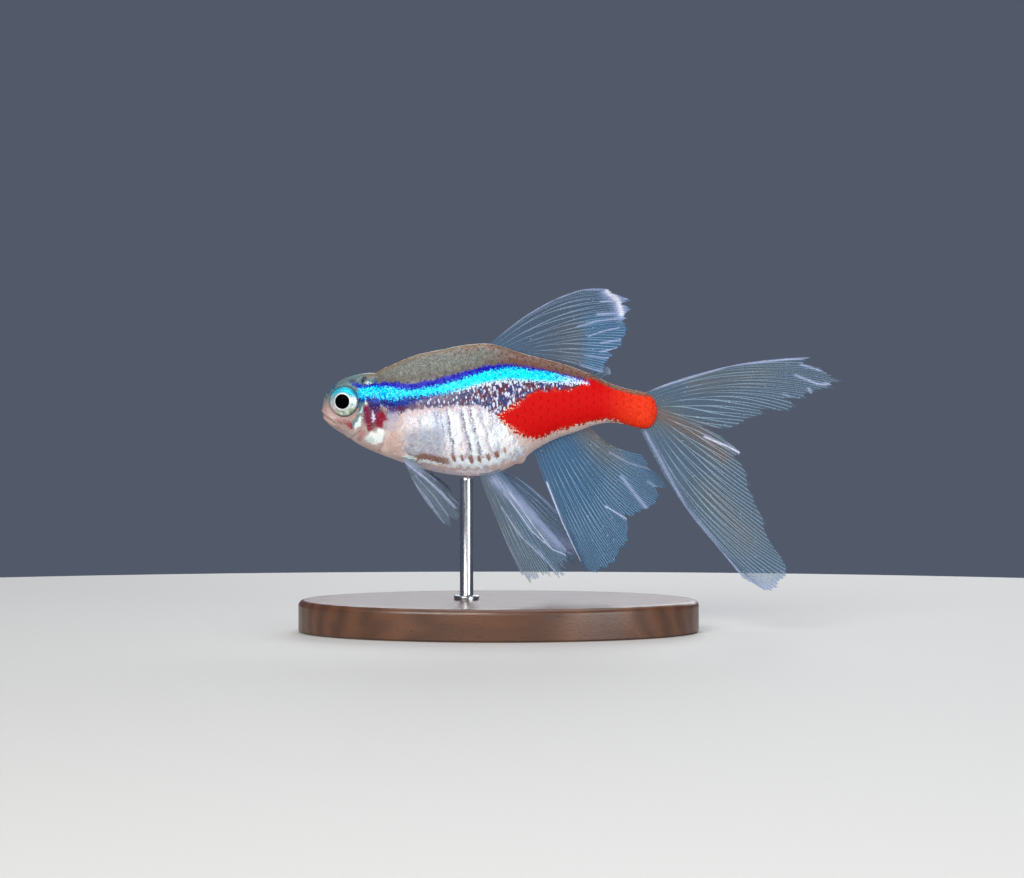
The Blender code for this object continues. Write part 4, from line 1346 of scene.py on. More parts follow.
def plate_faces(count):
    """The faces of all plates: a sheet above, one below, and a rim that joins them."""
    size = SCALE_ALONG * SCALE_ACROSS
    sheet = grid_faces(SCALE_ALONG, SCALE_ACROSS)[:, ::-1]
    loop = rim_loop(SCALE_ALONG, SCALE_ACROSS)
    after = np.roll(loop, -1)
    rim = np.stack([loop, after, after + size, loop + size], -1)
    one = np.vstack([sheet, sheet[:, ::-1] + size, rim])
    return (one[None] + each(np.arange(count) * 2 * size)).reshape(-1, 4)


print("faces of one plate:", len(plate_faces(1)))

# %% Lay the scales
SCALE_THICKNESS = 0.01
SCALE_TILT = 0.002
PATCH = 0.003


def doubled(values):
    """The upper and the lower points of a plate keep the same values."""
    return np.stack([values, values], 1)


def add_bake_layer(scales, x0, a0, shape):
    """Give every plate a small patch of its own on a flat map, by its place on the body."""
    patch_u = np.broadcast_to(each(a0) / (2 * np.pi) + PATCH * ACROSS / 2, shape)
    patch_v = np.broadcast_to(each(x0) / BODY_LENGTH + PATCH * (ALONG - 0.5), shape)
    unwrap = doubled(np.stack([patch_u, patch_v], -1)).reshape(-1, 2)
    corners = np.empty(len(scales.data.loops), np.int32)
    scales.data.loops.foreach_get("vertex_index", corners)
    bake = scales.data.uv_layers.new(name="OFBake")
    bake.uv.foreach_set("vector", unwrap[corners].astype(np.float32).ravel())


def make_scales():
    """All plates as one mesh; those over the gill covers are left out."""
    draw = np.random.default_rng(7)
    x0, a0, width, length = scale_roots()
    z0 = body_point(x0, a0)[:, 2]
    keep = gill_distance(x0 + 0.4 * length, z0) > -0.02
    x0, z0, a0, width, length = (part[keep] for part in (x0, z0, a0, width, length))
    count = len(x0)
    x, angle = plate_places(x0, a0, width, length)
    lift = plate_lift(x0, z0, draw.normal(0, SCALE_TILT, (2, count, 1, 1)))
    top = skin_point(x, angle, lift)
    points = np.stack([top, skin_point(x, angle, lift - SCALE_THICKNESS)], 1)
    scales = add_mesh("scales", to_frame(points), plate_faces(count))
    seen = doubled(top).reshape(-1, 3)
    margin = np.broadcast_to(fade(np.maximum(ALONG, np.abs(ACROSS) * 0.93), 0.86, 1.0), x.shape)
    twinkle = np.broadcast_to(each(draw.random(count)), x.shape)
    set_values(scales, **markings(seen[:, 0], seen[:, 2]))
    set_values(scales, margin=doubled(margin), twinkle=doubled(twinkle))
    add_bake_layer(scales, x0, a0, x.shape)
    scales.data.materials.append(SCALE_FINISH)
    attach(scales, "root")
    print("scales:", count)
    report(scales)


make_scales()

# %% [markdown]
# ## The eyes
#
# A fish's eye has no lids. The iris is a silvery ring, blue above and greenish below, and the round lens
# stands a little out of the pupil, which is why a fish sees almost all round. The eye is a turned shape:
# one profile from the middle of the pupil to the rim and round the back, spun about the eye's own axis.
# The axis leans forward a little, as the head narrows to the snout.

# %% The eye's profile
EYE_ROUND = 96
PUPIL = 0.48
LENS_RISE = 0.045
LENS_SINK = 0.03
PUPIL_RING = 0.022
IRIS_DIP = 0.045


def eye_profile():
    """Distance from the axis and height along it, as shares of the radius: lens, pupil edge, iris, back."""
    lens = np.linspace(0.0, 1.0, 12)
    iris = np.linspace(PUPIL, 1.0, 26)[1:]
    back = np.linspace(0, np.pi / 2, 12)[1:]
    dome = EYE_DEPTH / EYE_RADIUS
    lens_r = lens * PUPIL
    lens_h = dome * np.sqrt(1 - lens_r**2) + LENS_RISE * np.sqrt(1 - lens**2) - LENS_SINK
    ring = PUPIL_RING * bell(iris - PUPIL - 0.05, 0.03)
    iris_h = dome * np.sqrt(1 - iris**2) - IRIS_DIP * bell(iris - 0.72, 0.2) + ring
    r = np.concatenate([lens_r, iris, np.cos(back)])
    h = np.concatenate([lens_h, iris_h, -dome * np.sin(back)])
    return r, h


print("points on the eye's profile:", len(eye_profile()[0]))

# %% The iris
IRIS_PALE = display(226, 236, 236)
IRIS_CYAN = display(30, 200, 232)
IRIS_GREEN = display(150, 176, 120)
IRIS_PINK = display(222, 190, 200)
IRIS_SHADE = display(40, 62, 66)
IRIS_GREY = display(176, 200, 198)
IRIS_RING = display(232, 240, 236)
PUPIL_BLACK = display(2, 3, 4)


def eye_material():
    """Iris colours by place on the disc, fine spokes, and a clear wet coat over all."""
    material, w, shader = new_material("fish_eye")
    radius, up, fore = w.read("radius"), w.read("up"), w.read("fore")
    spokes = w.grain(0.07, 3.0)
    blotch = w.grain(0.3, 2.0)
    colour = w.blend(w.step(blotch, 0.4, 0.65), IRIS_PALE, IRIS_GREY)
    low = w.times(w.step(up, -0.25, -0.7), w.step(blotch, 0.3, 0.6))
    colour = w.blend(low, colour, IRIS_GREEN)
    low_front = w.times(w.step(fore, 0.05, 0.6), w.step(up, 0.1, -0.5))
    colour = w.blend(w.times(low_front, 0.7), colour, IRIS_PINK)
    sky = w.plus(up, w.swing(blotch, 0.3))
    colour = w.blend(w.step(sky, 0.15, 0.55), colour, IRIS_CYAN)
    colour = w.blend(w.times(w.step(spokes, 0.5, 0.8), 0.5), colour, SPARK)
    colour = w.blend(w.step(radius, PUPIL + 0.16, PUPIL + 0.08), colour, IRIS_RING)
    colour = w.blend(w.times(w.step(radius, 0.84, 1.0), 0.75), colour, IRIS_SHADE)
    colour = w.blend(w.step(radius, PUPIL + 0.03, PUPIL), colour, PUPIL_BLACK)
    w.put(shader["Base Color"], colour)
    w.put(shader["Metallic"], w.times(w.step(radius, PUPIL, PUPIL + 0.05), 0.45))
    w.put(shader["Roughness"], w.scaled(spokes, 0.18, 0.4))
    w.put(shader["Normal"], w.bump(spokes, 0.012))
    w.put(shader["Specular IOR Level"], 0.0)
    w.put(shader["Coat Weight"], w.scaled(w.step(radius, PUPIL, PUPIL + 0.05), 0.01, 0.15))
    w.put(shader["Coat Roughness"], 0.03)
    return material


EYE_FINISH = eye_material()
print("finish:", EYE_FINISH.name)

# %% Make the eyes


def make_eye(side_name, sign, material):
    """Spin the profile about an axis that points to the side and a little forward."""
    r, h = eye_profile()
    turn = np.linspace(0, 2 * np.pi, EYE_ROUND, endpoint=False)
    disc_x = r[:, None] * np.cos(turn)[None, :]
    disc_z = r[:, None] * np.sin(turn)[None, :]
    height = np.broadcast_to(h[:, None], disc_x.shape)
    x = disc_x * np.cos(EYE_TURN) - height * np.sin(EYE_TURN)
    y = disc_x * np.sin(EYE_TURN) + height * np.cos(EYE_TURN)
    points = np.stack([x, sign * y, disc_z], -1) * EYE_RADIUS
    points += (EYE_CENTRE[0], sign * EYE_SIDE, EYE_CENTRE[1])
    inner = points.reshape(-1, 3)
    middle = [inner[0], inner[-1]]
    flat = np.vstack([inner[EYE_ROUND:-EYE_ROUND], middle])
    faces = [face[::sign] for face in turned_faces(len(r) - 2, EYE_ROUND)]
    eye = add_mesh(f"eye_{side_name}_wet", to_frame(flat), faces)
    disc = np.stack([disc_x, disc_z], -1).reshape(-1, 2)
    disc = np.vstack([disc[EYE_ROUND:-EYE_ROUND], disc[:1], disc[-1:]])
    set_values(eye, radius=np.hypot(*disc.T), up=disc[:, 1], fore=-disc[:, 0])
    eye.data.materials.append(material)
    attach(eye, "root")
    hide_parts(f"eye_{side_name}")
    report(eye)


for eye_side, eye_sign in (("left", -1), ("right", 1)):
    make_eye(eye_side, eye_sign, EYE_FINISH)

# %% [markdown]
# ## The fins
#
# A fin is two skins with bony rays between them. Every ray starts as one rod at the root and splits twice
# on its way out, and the film between the rays ends in a frayed edge. The veil fins of this fish are very
# long. A few key rays, each with a root, a middle and a tip, draw the fin's outline. All other rays come
# from curves through the key rays. The film and its rays are one closed sheet: it is thicker where a ray
# runs and thin as film between, and its edge is worn back a little between the ray tips.

# %% The worn edge and the rays
RAY_WEAR = (-0.035, 0.02)
TIP_WEAR = (-0.03, 0.014)
FILM_WEAR = 0.015
NOTCH_WEAR = 0.02
SPLITS = (
    # how far the branches part, and where along the ray that starts and ends
    (0.25, 0.1, 0.6),
    (0.125, 0.35, 0.85),
)


def worn_edge(q, seed, tears, ragged, calm):
    """How far out the film reaches at each place across the fin: full at ray tips, worn back between."""
    ragged = ragged * (1 - calm * fade(q / q.max(), 0.6, 0.8))
    draw = np.random.default_rng(seed)
    rays = int(np.ceil(q.max())) + 1
    by_ray = 1.0 + np.interp(q, np.arange(rays + 1), draw.uniform(*RAY_WEAR, rays + 1)) * ragged
    tips = np.arange(4 * rays + 1) / 4
    by_tip = np.interp(q, tips, draw.uniform(*TIP_WEAR, len(tips))) * ragged
    between_rays = np.abs(q - np.round(q)) * 2
    between_tips = np.abs(4 * q + 2 - np.round(4 * q + 2)) * 2
    reach = by_ray + by_tip - ragged * (FILM_WEAR * between_rays**2 + NOTCH_WEAR * between_tips**1.5)
    for place, width, depth in tears:
        reach = reach * (1 - depth * np.exp(-np.abs((q / q.max() - place) / width) ** 1.6))
    return reach


def ray_shape(q, t, slender):
    """Each ray splits in two and again in two on its way out: 1 on a branch, 0 on the film."""
    off = np.abs(q - np.round(q))
    for width, start, end in SPLITS:
        off = np.abs(off - width * fade(t, start, end))
    return bell(off, slender * (0.10 - 0.04 * t))


print("a ray at its middle and between two:", ray_shape(np.array([0.0, 0.5]), 0.0, 1.0).round(2))

# %% A fin's surface
ROOT_SINK = 0.25
FILM_HALF = 0.014
RAY_HALF = 0.034
SWAY = 0.006
RIPPLE = 0.05


def key_curves(k, rays):
    """Root, bend and tip of the ray at each place k across the fin, on curves through the key rays."""
    keys = np.array(rays).reshape(-1, 3, 2)
    key_at = np.linspace(0, 1, len(keys))
    pieces = [[smooth_curve(k, key_at, keys[:, p, axis]) for axis in (0, 1)] for p in range(3)]
    root, middle, tip = (np.stack(piece, -1) for piece in pieces)
    return root, 2 * middle - (root + tip) / 2, tip


def fin_surface(rays, side, fineness, seed, tears=(), slender=1.0, pleat=0.05, ragged=1.0, calm=0.0):
    """A grid from root to worn edge: each column is a curve bent by its middle point, then swung aside."""
    count, per_ray, rows = fineness
    k = np.linspace(0, 1, (count - 1) * per_ray + 1)
    q = k * (count - 1)
    root, bend, tip = key_curves(k, rays)
    start = (bend - root) / np.linalg.norm(bend - root, axis=1)[:, None]
    reach = worn_edge(q, seed, tears, ragged, calm)
    share = np.linspace(0, 1, rows)[None, :] ** 0.92
    t = share * reach[:, None]
    s = t[:, :, None]
    flat = (1 - s) ** 2 * root[:, None] + 2 * s * (1 - s) * bend[:, None] + s**2 * tip[:, None]
    flat[:, 0] -= start * ROOT_SINK
    out = flat[:, -1] - root
    length = np.linalg.norm(out, axis=1)
    sideways = np.stack([-out[:, 1], out[:, 0]], -1) / length[:, None]
    sway = SWAY * length[:, None] * t * np.sin(7 * t + 2.3 * q[:, None] + seed)
    flat += sideways[:, None] * sway[:, :, None]
    ray = ray_shape(q[:, None], t, slender)
    y = side(k[:, None], t) + pleat * t * (ray - 0.5) + RIPPLE * t**2 * np.sin(11 * t + 1.7 * q[:, None])
    points = np.stack([flat[:, :, 0], y, flat[:, :, 1]], -1)
    return points, ray, np.broadcast_to(k[:, None], t.shape), t, share * np.ones_like(t)


def closed_sheet(points, half):
    """Two copies of the grid, half a thickness to each side along the normal, joined round the edge."""
    across, out = np.gradient(points, axis=0), np.gradient(points, axis=1)
    normal = np.cross(across, out)
    normal /= np.maximum(np.linalg.norm(normal, axis=-1, keepdims=True), 1e-12)
    front, back = points + normal * half[..., None], points - normal * half[..., None]
    columns, rows = points.shape[:2]
    size = columns * rows
    sheet = grid_faces(columns, rows)
    loop = rim_loop(columns, rows)
    after = np.roll(loop, -1)
    rim = np.stack([after, loop, loop + size, after + size], -1)
    faces = np.vstack([sheet[:, ::-1], sheet + size, rim[:, ::-1]])
    return np.vstack([front.reshape(-1, 3), back.reshape(-1, 3)]), faces


print("film:", 2 * FILM_HALF, "mm thick between the rays")

# %% [markdown]
# ## Streaks on the film
#
# Where a fin folds over itself or a ray catches the light, the film shows white and lilac streaks. They
# could be strokes of a brush. Here each is a short line with a width and a strength, and a point of the
# film takes the strongest streak near it.

# %% Streaks


def near_path(x, z, path):
    """The distance to a line of straight steps between points (x, z)."""
    nearest = np.full(np.shape(x), np.inf)
    for (x0, z0), (x1, z1) in zip(path, path[1:]):
        dx, dz = x1 - x0, z1 - z0
        along = np.clip(((x - x0) * dx + (z - z0) * dz) / (dx * dx + dz * dz), 0, 1)
        nearest = np.minimum(nearest, np.hypot(x - x0 - along * dx, z - z0 - along * dz))
    return nearest


def streaks(x, z, marks):
    """White or tinted streaks: each a path with a width and a strength."""
    mask = np.zeros(np.shape(x))
    for path, width, strength in marks:
        mask = np.maximum(mask, strength * bell(near_path(x, z, path), width))
    return mask


print("distance to a line 1 mm away:", near_path(0.0, 1.0, ((-1, 0), (1, 0))))

# %% [markdown]
# ## The finish of the fins
#
# Fin film is clear and takes its tint from what little light it scatters: blue by itself, grey and brown
# where pigment cells lie in it. Glass with refraction would cost much light for little to see, so the film
# is a plain surface with low cover. The rays are drawn by the shader, as they are finer than the mesh:
# every point keeps its place across the fin and out along the ray, and the splitting is arithmetic on it.

# %% Film, rays and crystals
FILM_BLUE = display(36, 104, 150)
FILM_GREY = display(98, 114, 124)
FILM_BROWN = display(136, 108, 80)
RAY_PALE = display(172, 200, 220)
STREAK_LILAC = display(190, 198, 236)
STREAK_WHITE = display(238, 240, 252)


def fin_material():
    """Clear film with paler rays, small crystals along the rays, and cover that changes over the fin."""
    material, w, shader = new_material("fin_film")
    cover, white, warm, q, out = (w.read(name) for name in ("cover", "white", "warm", "place", "out"))
    fine, cloud = w.grain(0.12), w.grain(0.9, 3.0)
    chance, reach = w.cells(0.16)
    colour = w.blend(w.step(warm, 0.0, 0.5), FILM_BLUE, FILM_GREY)
    colour = w.blend(w.step(warm, 0.5, 1.0), colour, FILM_BROWN)
    off = w.maths("ABSOLUTE", w.minus(q, w.maths("ROUND", q)))
    for width, start, end in SPLITS:
        off = w.maths("ABSOLUTE", w.minus(off, w.scaled(w.step(out, start, end), 0.0, width)))
    ray = w.step(off, w.scaled(out, 0.10, 0.055), w.scaled(out, 0.02, 0.005))
    rib = w.times(ray, w.scaled(fine, 0.45, 1.05))
    colour = w.blend(w.times(rib, 0.85), colour, RAY_PALE)
    dots = w.times(w.step(chance, 0.98, 0.99), w.step(reach, 0.35, 0.15))
    colour = w.blend(w.times(dots, 0.6), colour, STREAK_WHITE)
    streak = w.times(white, w.scaled(fine, 0.5, 1.2), clamp=True)
    colour = w.blend(streak, colour, w.blend(w.step(white, 0.75, 1.0), STREAK_LILAC, STREAK_WHITE))
    alpha = w.times(cover, w.scaled(cloud, 0.75, 1.45))
    alpha = w.plus(alpha, w.times(rib, 0.33))
    alpha = w.plus(alpha, w.times(dots, 0.3))
    alpha = w.plus(alpha, w.times(streak, 0.6), clamp=True)
    w.put(shader["Base Color"], colour)
    w.put(shader["Alpha"], alpha)
    w.put(shader["Roughness"], w.scaled(fine, 0.35, 0.55))
    w.put(shader["Normal"], w.bump(w.plus(ray, w.times(fine, 0.3)), 0.02))
    w.put(shader["Specular IOR Level"], 0.25)
    return material


FIN_FINISH = fin_material()

print("finish:", FIN_FINISH.name)

# %% From rays to a finished fin
EDGE_THINNING = 0.75
RAY_TAPER = 0.6


def make_fin(name, nodes, rays, side, fineness, seed, paint, **form):
    """One fin; fineness is rays, columns a ray and rows, and paint gives cover, warmth and white streaks."""
    points, ray, k, t, share = fin_surface(rays, side, fineness, seed, **form)
    thin = 1 - EDGE_THINNING * fade(share, 0.86, 1.0)
    half = (FILM_HALF + RAY_HALF * ray * (1 - RAY_TAPER * t)) * thin
    flat, faces = closed_sheet(points, half)
    fin = add_mesh(name, to_frame(flat), faces)
    cover, warm, white = paint(points[..., 0], points[..., 2], k, t)
    values = {"cover": cover, "warm": warm, "white": white, "place": k * (fineness[0] - 1), "out": t}
    values = {key: np.tile((value * np.ones_like(t)).ravel(), 2) for key, value in values.items()}
    set_values(fin, **values)
    fin.data.materials.append(FIN_FINISH)
    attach(fin, "root")
    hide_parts(*nodes)
    report(fin)


print("a ray is", round(2 * (FILM_HALF + RAY_HALF), 3), "mm thick at its root")

# %% [markdown]
# ## The dorsal fin
#
# The back fin of this veil form is drawn out to a long pennant, and its rear edge comes down close to the
# back. A cloth simulation could drape it, but nobody could say beforehand where its edge would lie. Seven
# key rays say it exactly, and a sine wave lets the fin lean.

# %% Make the dorsal fin
DORSAL_RAYS = (
    # x and z of the root, the middle and the tip
    (12.50, 4.90, 17.40, 8.30, 21.22, 9.02),
    (12.80, 4.80, 17.96, 7.93, 23.35, 8.31),
    (13.32, 4.70, 18.41, 6.89, 22.98, 7.34),
    (13.92, 4.57, 18.71, 5.99, 23.05, 6.51),
    (14.45, 4.45, 18.71, 5.28, 22.75, 5.31),
    (14.90, 4.36, 18.35, 4.26, 21.75, 3.85),
    (15.34, 4.24, 18.10, 3.60, 21.00, 2.78),
)
DORSAL_WHITE = (
    # path, width, strength
    (((12.6, 5.1), (15.1, 6.95), (17.4, 8.3), (19.4, 8.98), (21.2, 9.0)), 0.07, 0.8),
    (((21.3, 8.85), (22.1, 8.2), (22.4, 7.2)), 0.5, 1.0),
    (((20.8, 8.1), (22.4, 8.15)), 0.07, 0.9),
    (((20.6, 7.15), (22.2, 7.25)), 0.12, 0.75),
    (((19.1, 6.25), (20.6, 6.65), (22.6, 6.9)), 0.07, 0.7),
    (((19.9, 5.5), (21.0, 5.9), (22.2, 6.15)), 0.05, 0.8),
    (((20.8, 5.0), (22.3, 5.25)), 0.06, 0.7),
    (((20.8, 4.35), (22.0, 4.6)), 0.07, 0.7),
    (((19.6, 4.1), (20.9, 3.9), (21.6, 3.9)), 0.05, 0.6),
    (((19.4, 3.3), (20.3, 3.0), (21.0, 2.85)), 0.16, 0.4),
    (((22.6, 8.35), (23.3, 8.3)), 0.12, 0.9),
)


def dorsal_side(k, t):
    """The dorsal fin leans a little and its rear half folds towards the fish's left."""
    return 0.25 * t * np.sin(3.5 * k) - 1.05 * k * t**2


def dorsal_paint(x, z, k, t):
    """Clear in front, denser and bluer low down behind, with white along the front edge and at the tip."""
    cover = 0.08 + 0.24 * fade(x, 19.2, 20.2) * (1 - fade(z, 6.6, 7.6)) + 0.14 * bell(t, 0.2)
    warm = 0.2 + 0.3 * bell(x - 18.3, 0.9) * (1 - fade(z, 6.0, 7.2)) - 0.2 * fade(x, 19.0, 20.0)
    return cover, warm, streaks(x, z, DORSAL_WHITE)


make_fin(
    "dorsal_fin_film", ["dorsal_fin"], DORSAL_RAYS, dorsal_side, (11, 22, 110), 1, dorsal_paint,
    tears=((0.1, 0.045, 0.1), (0.26, 0.03, 0.07), (0.5, 0.1, 0.03), (0.78, 0.02, 0.08)),
)

# %% [markdown]
# ## The tail fin
#
# The tail fin has two lobes. The upper one swings to the fish's right, the lower one to its left, past the
# anal fin. Two meshes would show a seam where they meet, so both lobes are one film, and one deep tear
# between them makes the notch.

# %% Make the tail fin
UPPER_LOBE_RAYS = (
    (24.18, 1.30, 29.87, 3.14, 36.90, 3.97),
    (24.48, 1.15, 31.06, 2.99, 38.47, 2.54),
    (24.70, 0.95, 31.36, 2.40, 38.92, 1.72),
    (24.93, 0.72, 31.06, 1.80, 37.43, 1.20),
    (25.02, 0.45, 30.31, 1.20, 36.08, 0.15),
    (25.05, 0.26, 29.10, 0.30, 33.75, -0.40),
    (25.07, 0.10, 28.20, -0.84, 31.30, -1.38),
)
LOWER_LOBE_RAYS = (
    (25.07, -0.28, 28.25, -1.44, 31.74, -3.50),
    (25.05, -0.45, 28.52, -2.77, 31.96, -5.09),
    (25.00, -0.71, 28.67, -4.19, 32.63, -7.19),
    (24.90, -1.01, 28.74, -5.54, 33.53, -9.51),
    (24.70, -1.25, 28.59, -6.74, 34.58, -11.45),
    (24.40, -1.40, 28.22, -7.63, 34.36, -12.87),
    (24.10, -1.46, 27.69, -7.78, 33.23, -13.47),
    (23.80, -1.46, 27.10, -7.11, 31.66, -12.72),
)
TAIL_RAYS = UPPER_LOBE_RAYS + LOWER_LOBE_RAYS
LAST_UPPER = (len(UPPER_LOBE_RAYS) - 1) / (len(TAIL_RAYS) - 1)
FIRST_LOWER = len(UPPER_LOBE_RAYS) / (len(TAIL_RAYS) - 1)
TAIL_WHITE = (
    (((24.3, 1.45), (30.6, 3.35), (36.8, 4.0)), 0.1, 0.8),
    (((36.4, 1.6), (36.9, 1.0), (37.0, 0.7)), 0.1, 0.9),
    (((35.4, 2.6), (37.2, 1.9), (38.9, 2.0)), 0.1, 0.85),
    (((35.8, 3.4), (37.4, 2.9), (38.4, 2.5)), 0.08, 0.75),
    (((34.6, 1.2), (36.0, 0.2)), 0.1, 0.6),
    (((28.6, -2.0), (30.4, -2.75), (31.8, -3.5)), 0.11, 1.0),
    (((24.2, -1.7), (27.2, -7.3), (31.7, -12.8)), 0.14, 0.6),
    (((31.7, -12.7), (33.3, -13.4), (34.6, -12.6)), 0.5, 0.6),
)
TAIL_BROWN = (
    (((25.2, -0.3), (28.4, -1.9), (30.0, -3.4)), 0.85, 0.95),
    (((29.0, -6.0), (31.6, -9.6)), 1.0, 0.6),
    (((28.0, 2.0), (33.0, 2.6)), 0.7, 0.5),
)
TAIL_TEARS = (
    # place across the fin, width, depth
    (0.46, 0.022, 0.45),
    (0.27, 0.012, 0.12),
    (0.34, 0.012, 0.1),
    (0.15, 0.01, 0.05),
    (0.53, 0.012, 0.14),
    (0.5, 0.01, -0.05),
)


def tail_side(k, t):
    """The upper lobe swings right and curls at its end, the lower one swings left past the anal fin."""
    upper = np.clip(k / LAST_UPPER, 0, 1)
    lower = np.clip((k - FIRST_LOWER) / (1 - FIRST_LOWER), 0, 1)
    right = 0.5 * t + 0.9 * t**3 * (upper - 0.3)
    left = -1.5 * t * (0.35 + 0.65 * lower) + 0.35 * t**2 * np.sin(6 * lower)
    share = fade(k, LAST_UPPER, FIRST_LOWER)
    return right * (1 - share) + left * share


def tail_paint(x, z, k, t):
    """Blue film that is denser at its root and in the lower lobe, with brown clouds and white edges."""
    cover = 0.2 + 0.1 * bell(t, 0.3) + 0.1 * fade(k, 0.6, 1.0)
    return cover, 0.3 + 0.6 * streaks(x, z, TAIL_BROWN), streaks(x, z, TAIL_WHITE)


make_fin(
    "tail_fin_film", ["tail_fin_upper_lobe", "tail_fin_lower_lobe"], TAIL_RAYS, tail_side, (20, 15, 150), 3,
    tail_paint, tears=TAIL_TEARS, ragged=1.4, calm=0.65,
)

# %% [markdown]
# ## The anal fin
#
# The long fin behind the vent hangs down as a veil in front and grows short towards the tail. Its rear
# swings to the right, clear of the tail fin. A bend modifier could do that for the whole fin, but here only
# the rear has to move, and a power of the place across the fin does it in one line.

# %% Make the anal fin
ANAL_RAYS = (
    (15.87, -3.05, 17.51, -7.49, 19.54, -11.83),
    (16.32, -2.80, 18.34, -7.86, 20.58, -12.43),
    (16.84, -2.50, 19.31, -7.49, 21.71, -11.60),
    (17.44, -2.20, 20.36, -6.96, 22.83, -10.55),
    (18.04, -2.00, 20.81, -5.91, 23.10, -8.60),
    (18.56, -1.80, 21.33, -5.01, 24.55, -7.49),
    (19.09, -1.60, 21.86, -4.12, 25.45, -6.59),
    (19.61, -1.40, 22.16, -3.30, 25.90, -5.61),
    (20.06, -1.25, 21.63, -2.64, 24.18, -3.40),
)
ANAL_WHITE = (
    (((16.8, -5.4), (18.0, -8.5), (19.3, -11.3)), 0.07, 1.0),
    (((21.2, -7.2), (22.0, -7.7), (23.1, -8.4)), 0.06, 1.0),
    (((22.4, -5.0), (23.4, -6.3), (24.3, -7.4)), 0.14, 0.65),
    (((21.5, -3.2), (23.0, -4.0), (24.6, -4.5)), 0.07, 0.55),
    (((24.4, -5.4), (25.6, -6.2)), 0.1, 0.5),
)


def anal_side(k, t):
    """The anal fin's rear swings to the fish's right, clear of the tail."""
    return 1.3 * k**1.5 * t + 0.3 * t**2 * np.sin(7 * k)


def anal_paint(x, z, k, t):
    """Blue film, brown where its rear rays leave the body."""
    warm = 0.12 + 0.7 * fade(k, 0.55, 0.95) * (1 - fade(t, 0.3, 0.7))
    return 0.25 + 0.15 * bell(k - 0.3, 0.3), warm, streaks(x, z, ANAL_WHITE)


make_fin(
    "anal_fin_film", ["anal_fin"], ANAL_RAYS, anal_side, (20, 13, 120), 2, anal_paint,
    tears=((0.52, 0.012, 0.1), (0.8, 0.016, 0.1), (0.93, 0.02, 0.08)),
)

# %% [markdown]
# ## The pelvic fins
#
# Two pelvic fins hang under the belly and spread outwards as they fall. A mirrored copy would be hidden
# behind the near fin. On the real fish the far one shows beside it, so each has its own key rays. The near
# one carries the streaks that the eye meets first.

# %% Make the pelvic fins
PELVIC_LEFT_RAYS = (
    (11.75, -4.75, 13.32, -8.76, 14.90, -12.05),
    (12.05, -4.75, 13.92, -8.83, 15.64, -12.72),
    (12.43, -4.75, 14.60, -8.68, 16.77, -12.43),
    (12.80, -4.70, 15.12, -8.38, 18.04, -12.72),
    (13.10, -4.62, 15.42, -7.78, 18.56, -11.75),
    (13.40, -4.52, 15.57, -7.19, 18.71, -10.85),
)
PELVIC_RIGHT_RAYS = (
    (11.98, -4.75, 14.22, -8.38, 17.22, -12.28),
    (12.43, -4.72, 14.97, -8.08, 18.26, -12.13),
    (12.87, -4.66, 15.72, -7.63, 19.16, -11.38),
    (13.32, -4.55, 16.32, -6.44, 19.91, -10.55),
)
PELVIC_WHITE = (
    (((12.9, -5.2), (14.8, -6.9), (16.4, -8.6), (17.7, -9.9), (19.6, -10.7)), 0.42, 0.62),
    (((14.0, -6.1), (15.9, -8.7), (17.2, -10.3), (18.7, -10.9)), 0.06, 1.0),
    (((13.6, -6.2), (14.4, -7.2), (15.7, -9.0), (17.1, -10.2)), 0.05, 0.95),
    (((13.4, -7.2), (14.9, -9.4), (16.6, -11.0)), 0.05, 0.8),
    (((16.2, -10.4), (17.4, -11.9), (18.0, -12.6)), 0.05, 0.7),
    (((11.7, -5.2), (13.4, -9.0), (15.2, -12.4)), 0.07, 0.45),
    (((15.0, -12.2), (16.9, -12.4), (18.3, -12.2)), 0.22, 0.4),
)


def paired_side(root, tip, sign, wave=0.3):
    """How a paired fin swings: it starts at the flank and spreads away from the body."""

    def side(k, t):
        return sign * (root + (tip - root) * t + wave * t**2 * np.sin(4.5 * k))

    return side


def pelvic_left_paint(x, z, k, t):
    """The near pelvic fin: grey in front, blue behind, with long white streaks."""
    return 0.24 - 0.04 * t, 0.2 + 0.3 * (1 - k), streaks(x, z, PELVIC_WHITE)


def pelvic_right_paint(x, z, k, t):
    """The far pelvic fin: thinner film with a bright rear edge."""
    rear_edge = 0.5 * fade(k, 0.93, 1.0) * fade(t, 0.1, 0.4)
    return 0.18, 0.2, np.maximum(streaks(x, z, PELVIC_WHITE), rear_edge)


make_fin(
    "pelvic_fin_left_film", ["pelvic_fin_left"], PELVIC_LEFT_RAYS, paired_side(0.8, 2.6, -1), (8, 24, 100),
    5, pelvic_left_paint, tears=((0.52, 0.02, 0.05), (0.7, 0.015, 0.06), (0.22, 0.02, 0.04)), ragged=1.3,
)
make_fin(
    "pelvic_fin_right_film", ["pelvic_fin_right"], PELVIC_RIGHT_RAYS, paired_side(0.8, 2.2, 1), (8, 24, 100),
    6, pelvic_right_paint, tears=((0.4, 0.02, 0.06),),
)

# %% [markdown]
# ## The pectoral fins
#
# The pectoral fins sit just behind the gill covers, and the fish steers with them. Left and right are
# mirror images, so one loop makes both. A mirror modifier would copy the worn edge as well. Here each fin
# has its own seed, and so its own edge.

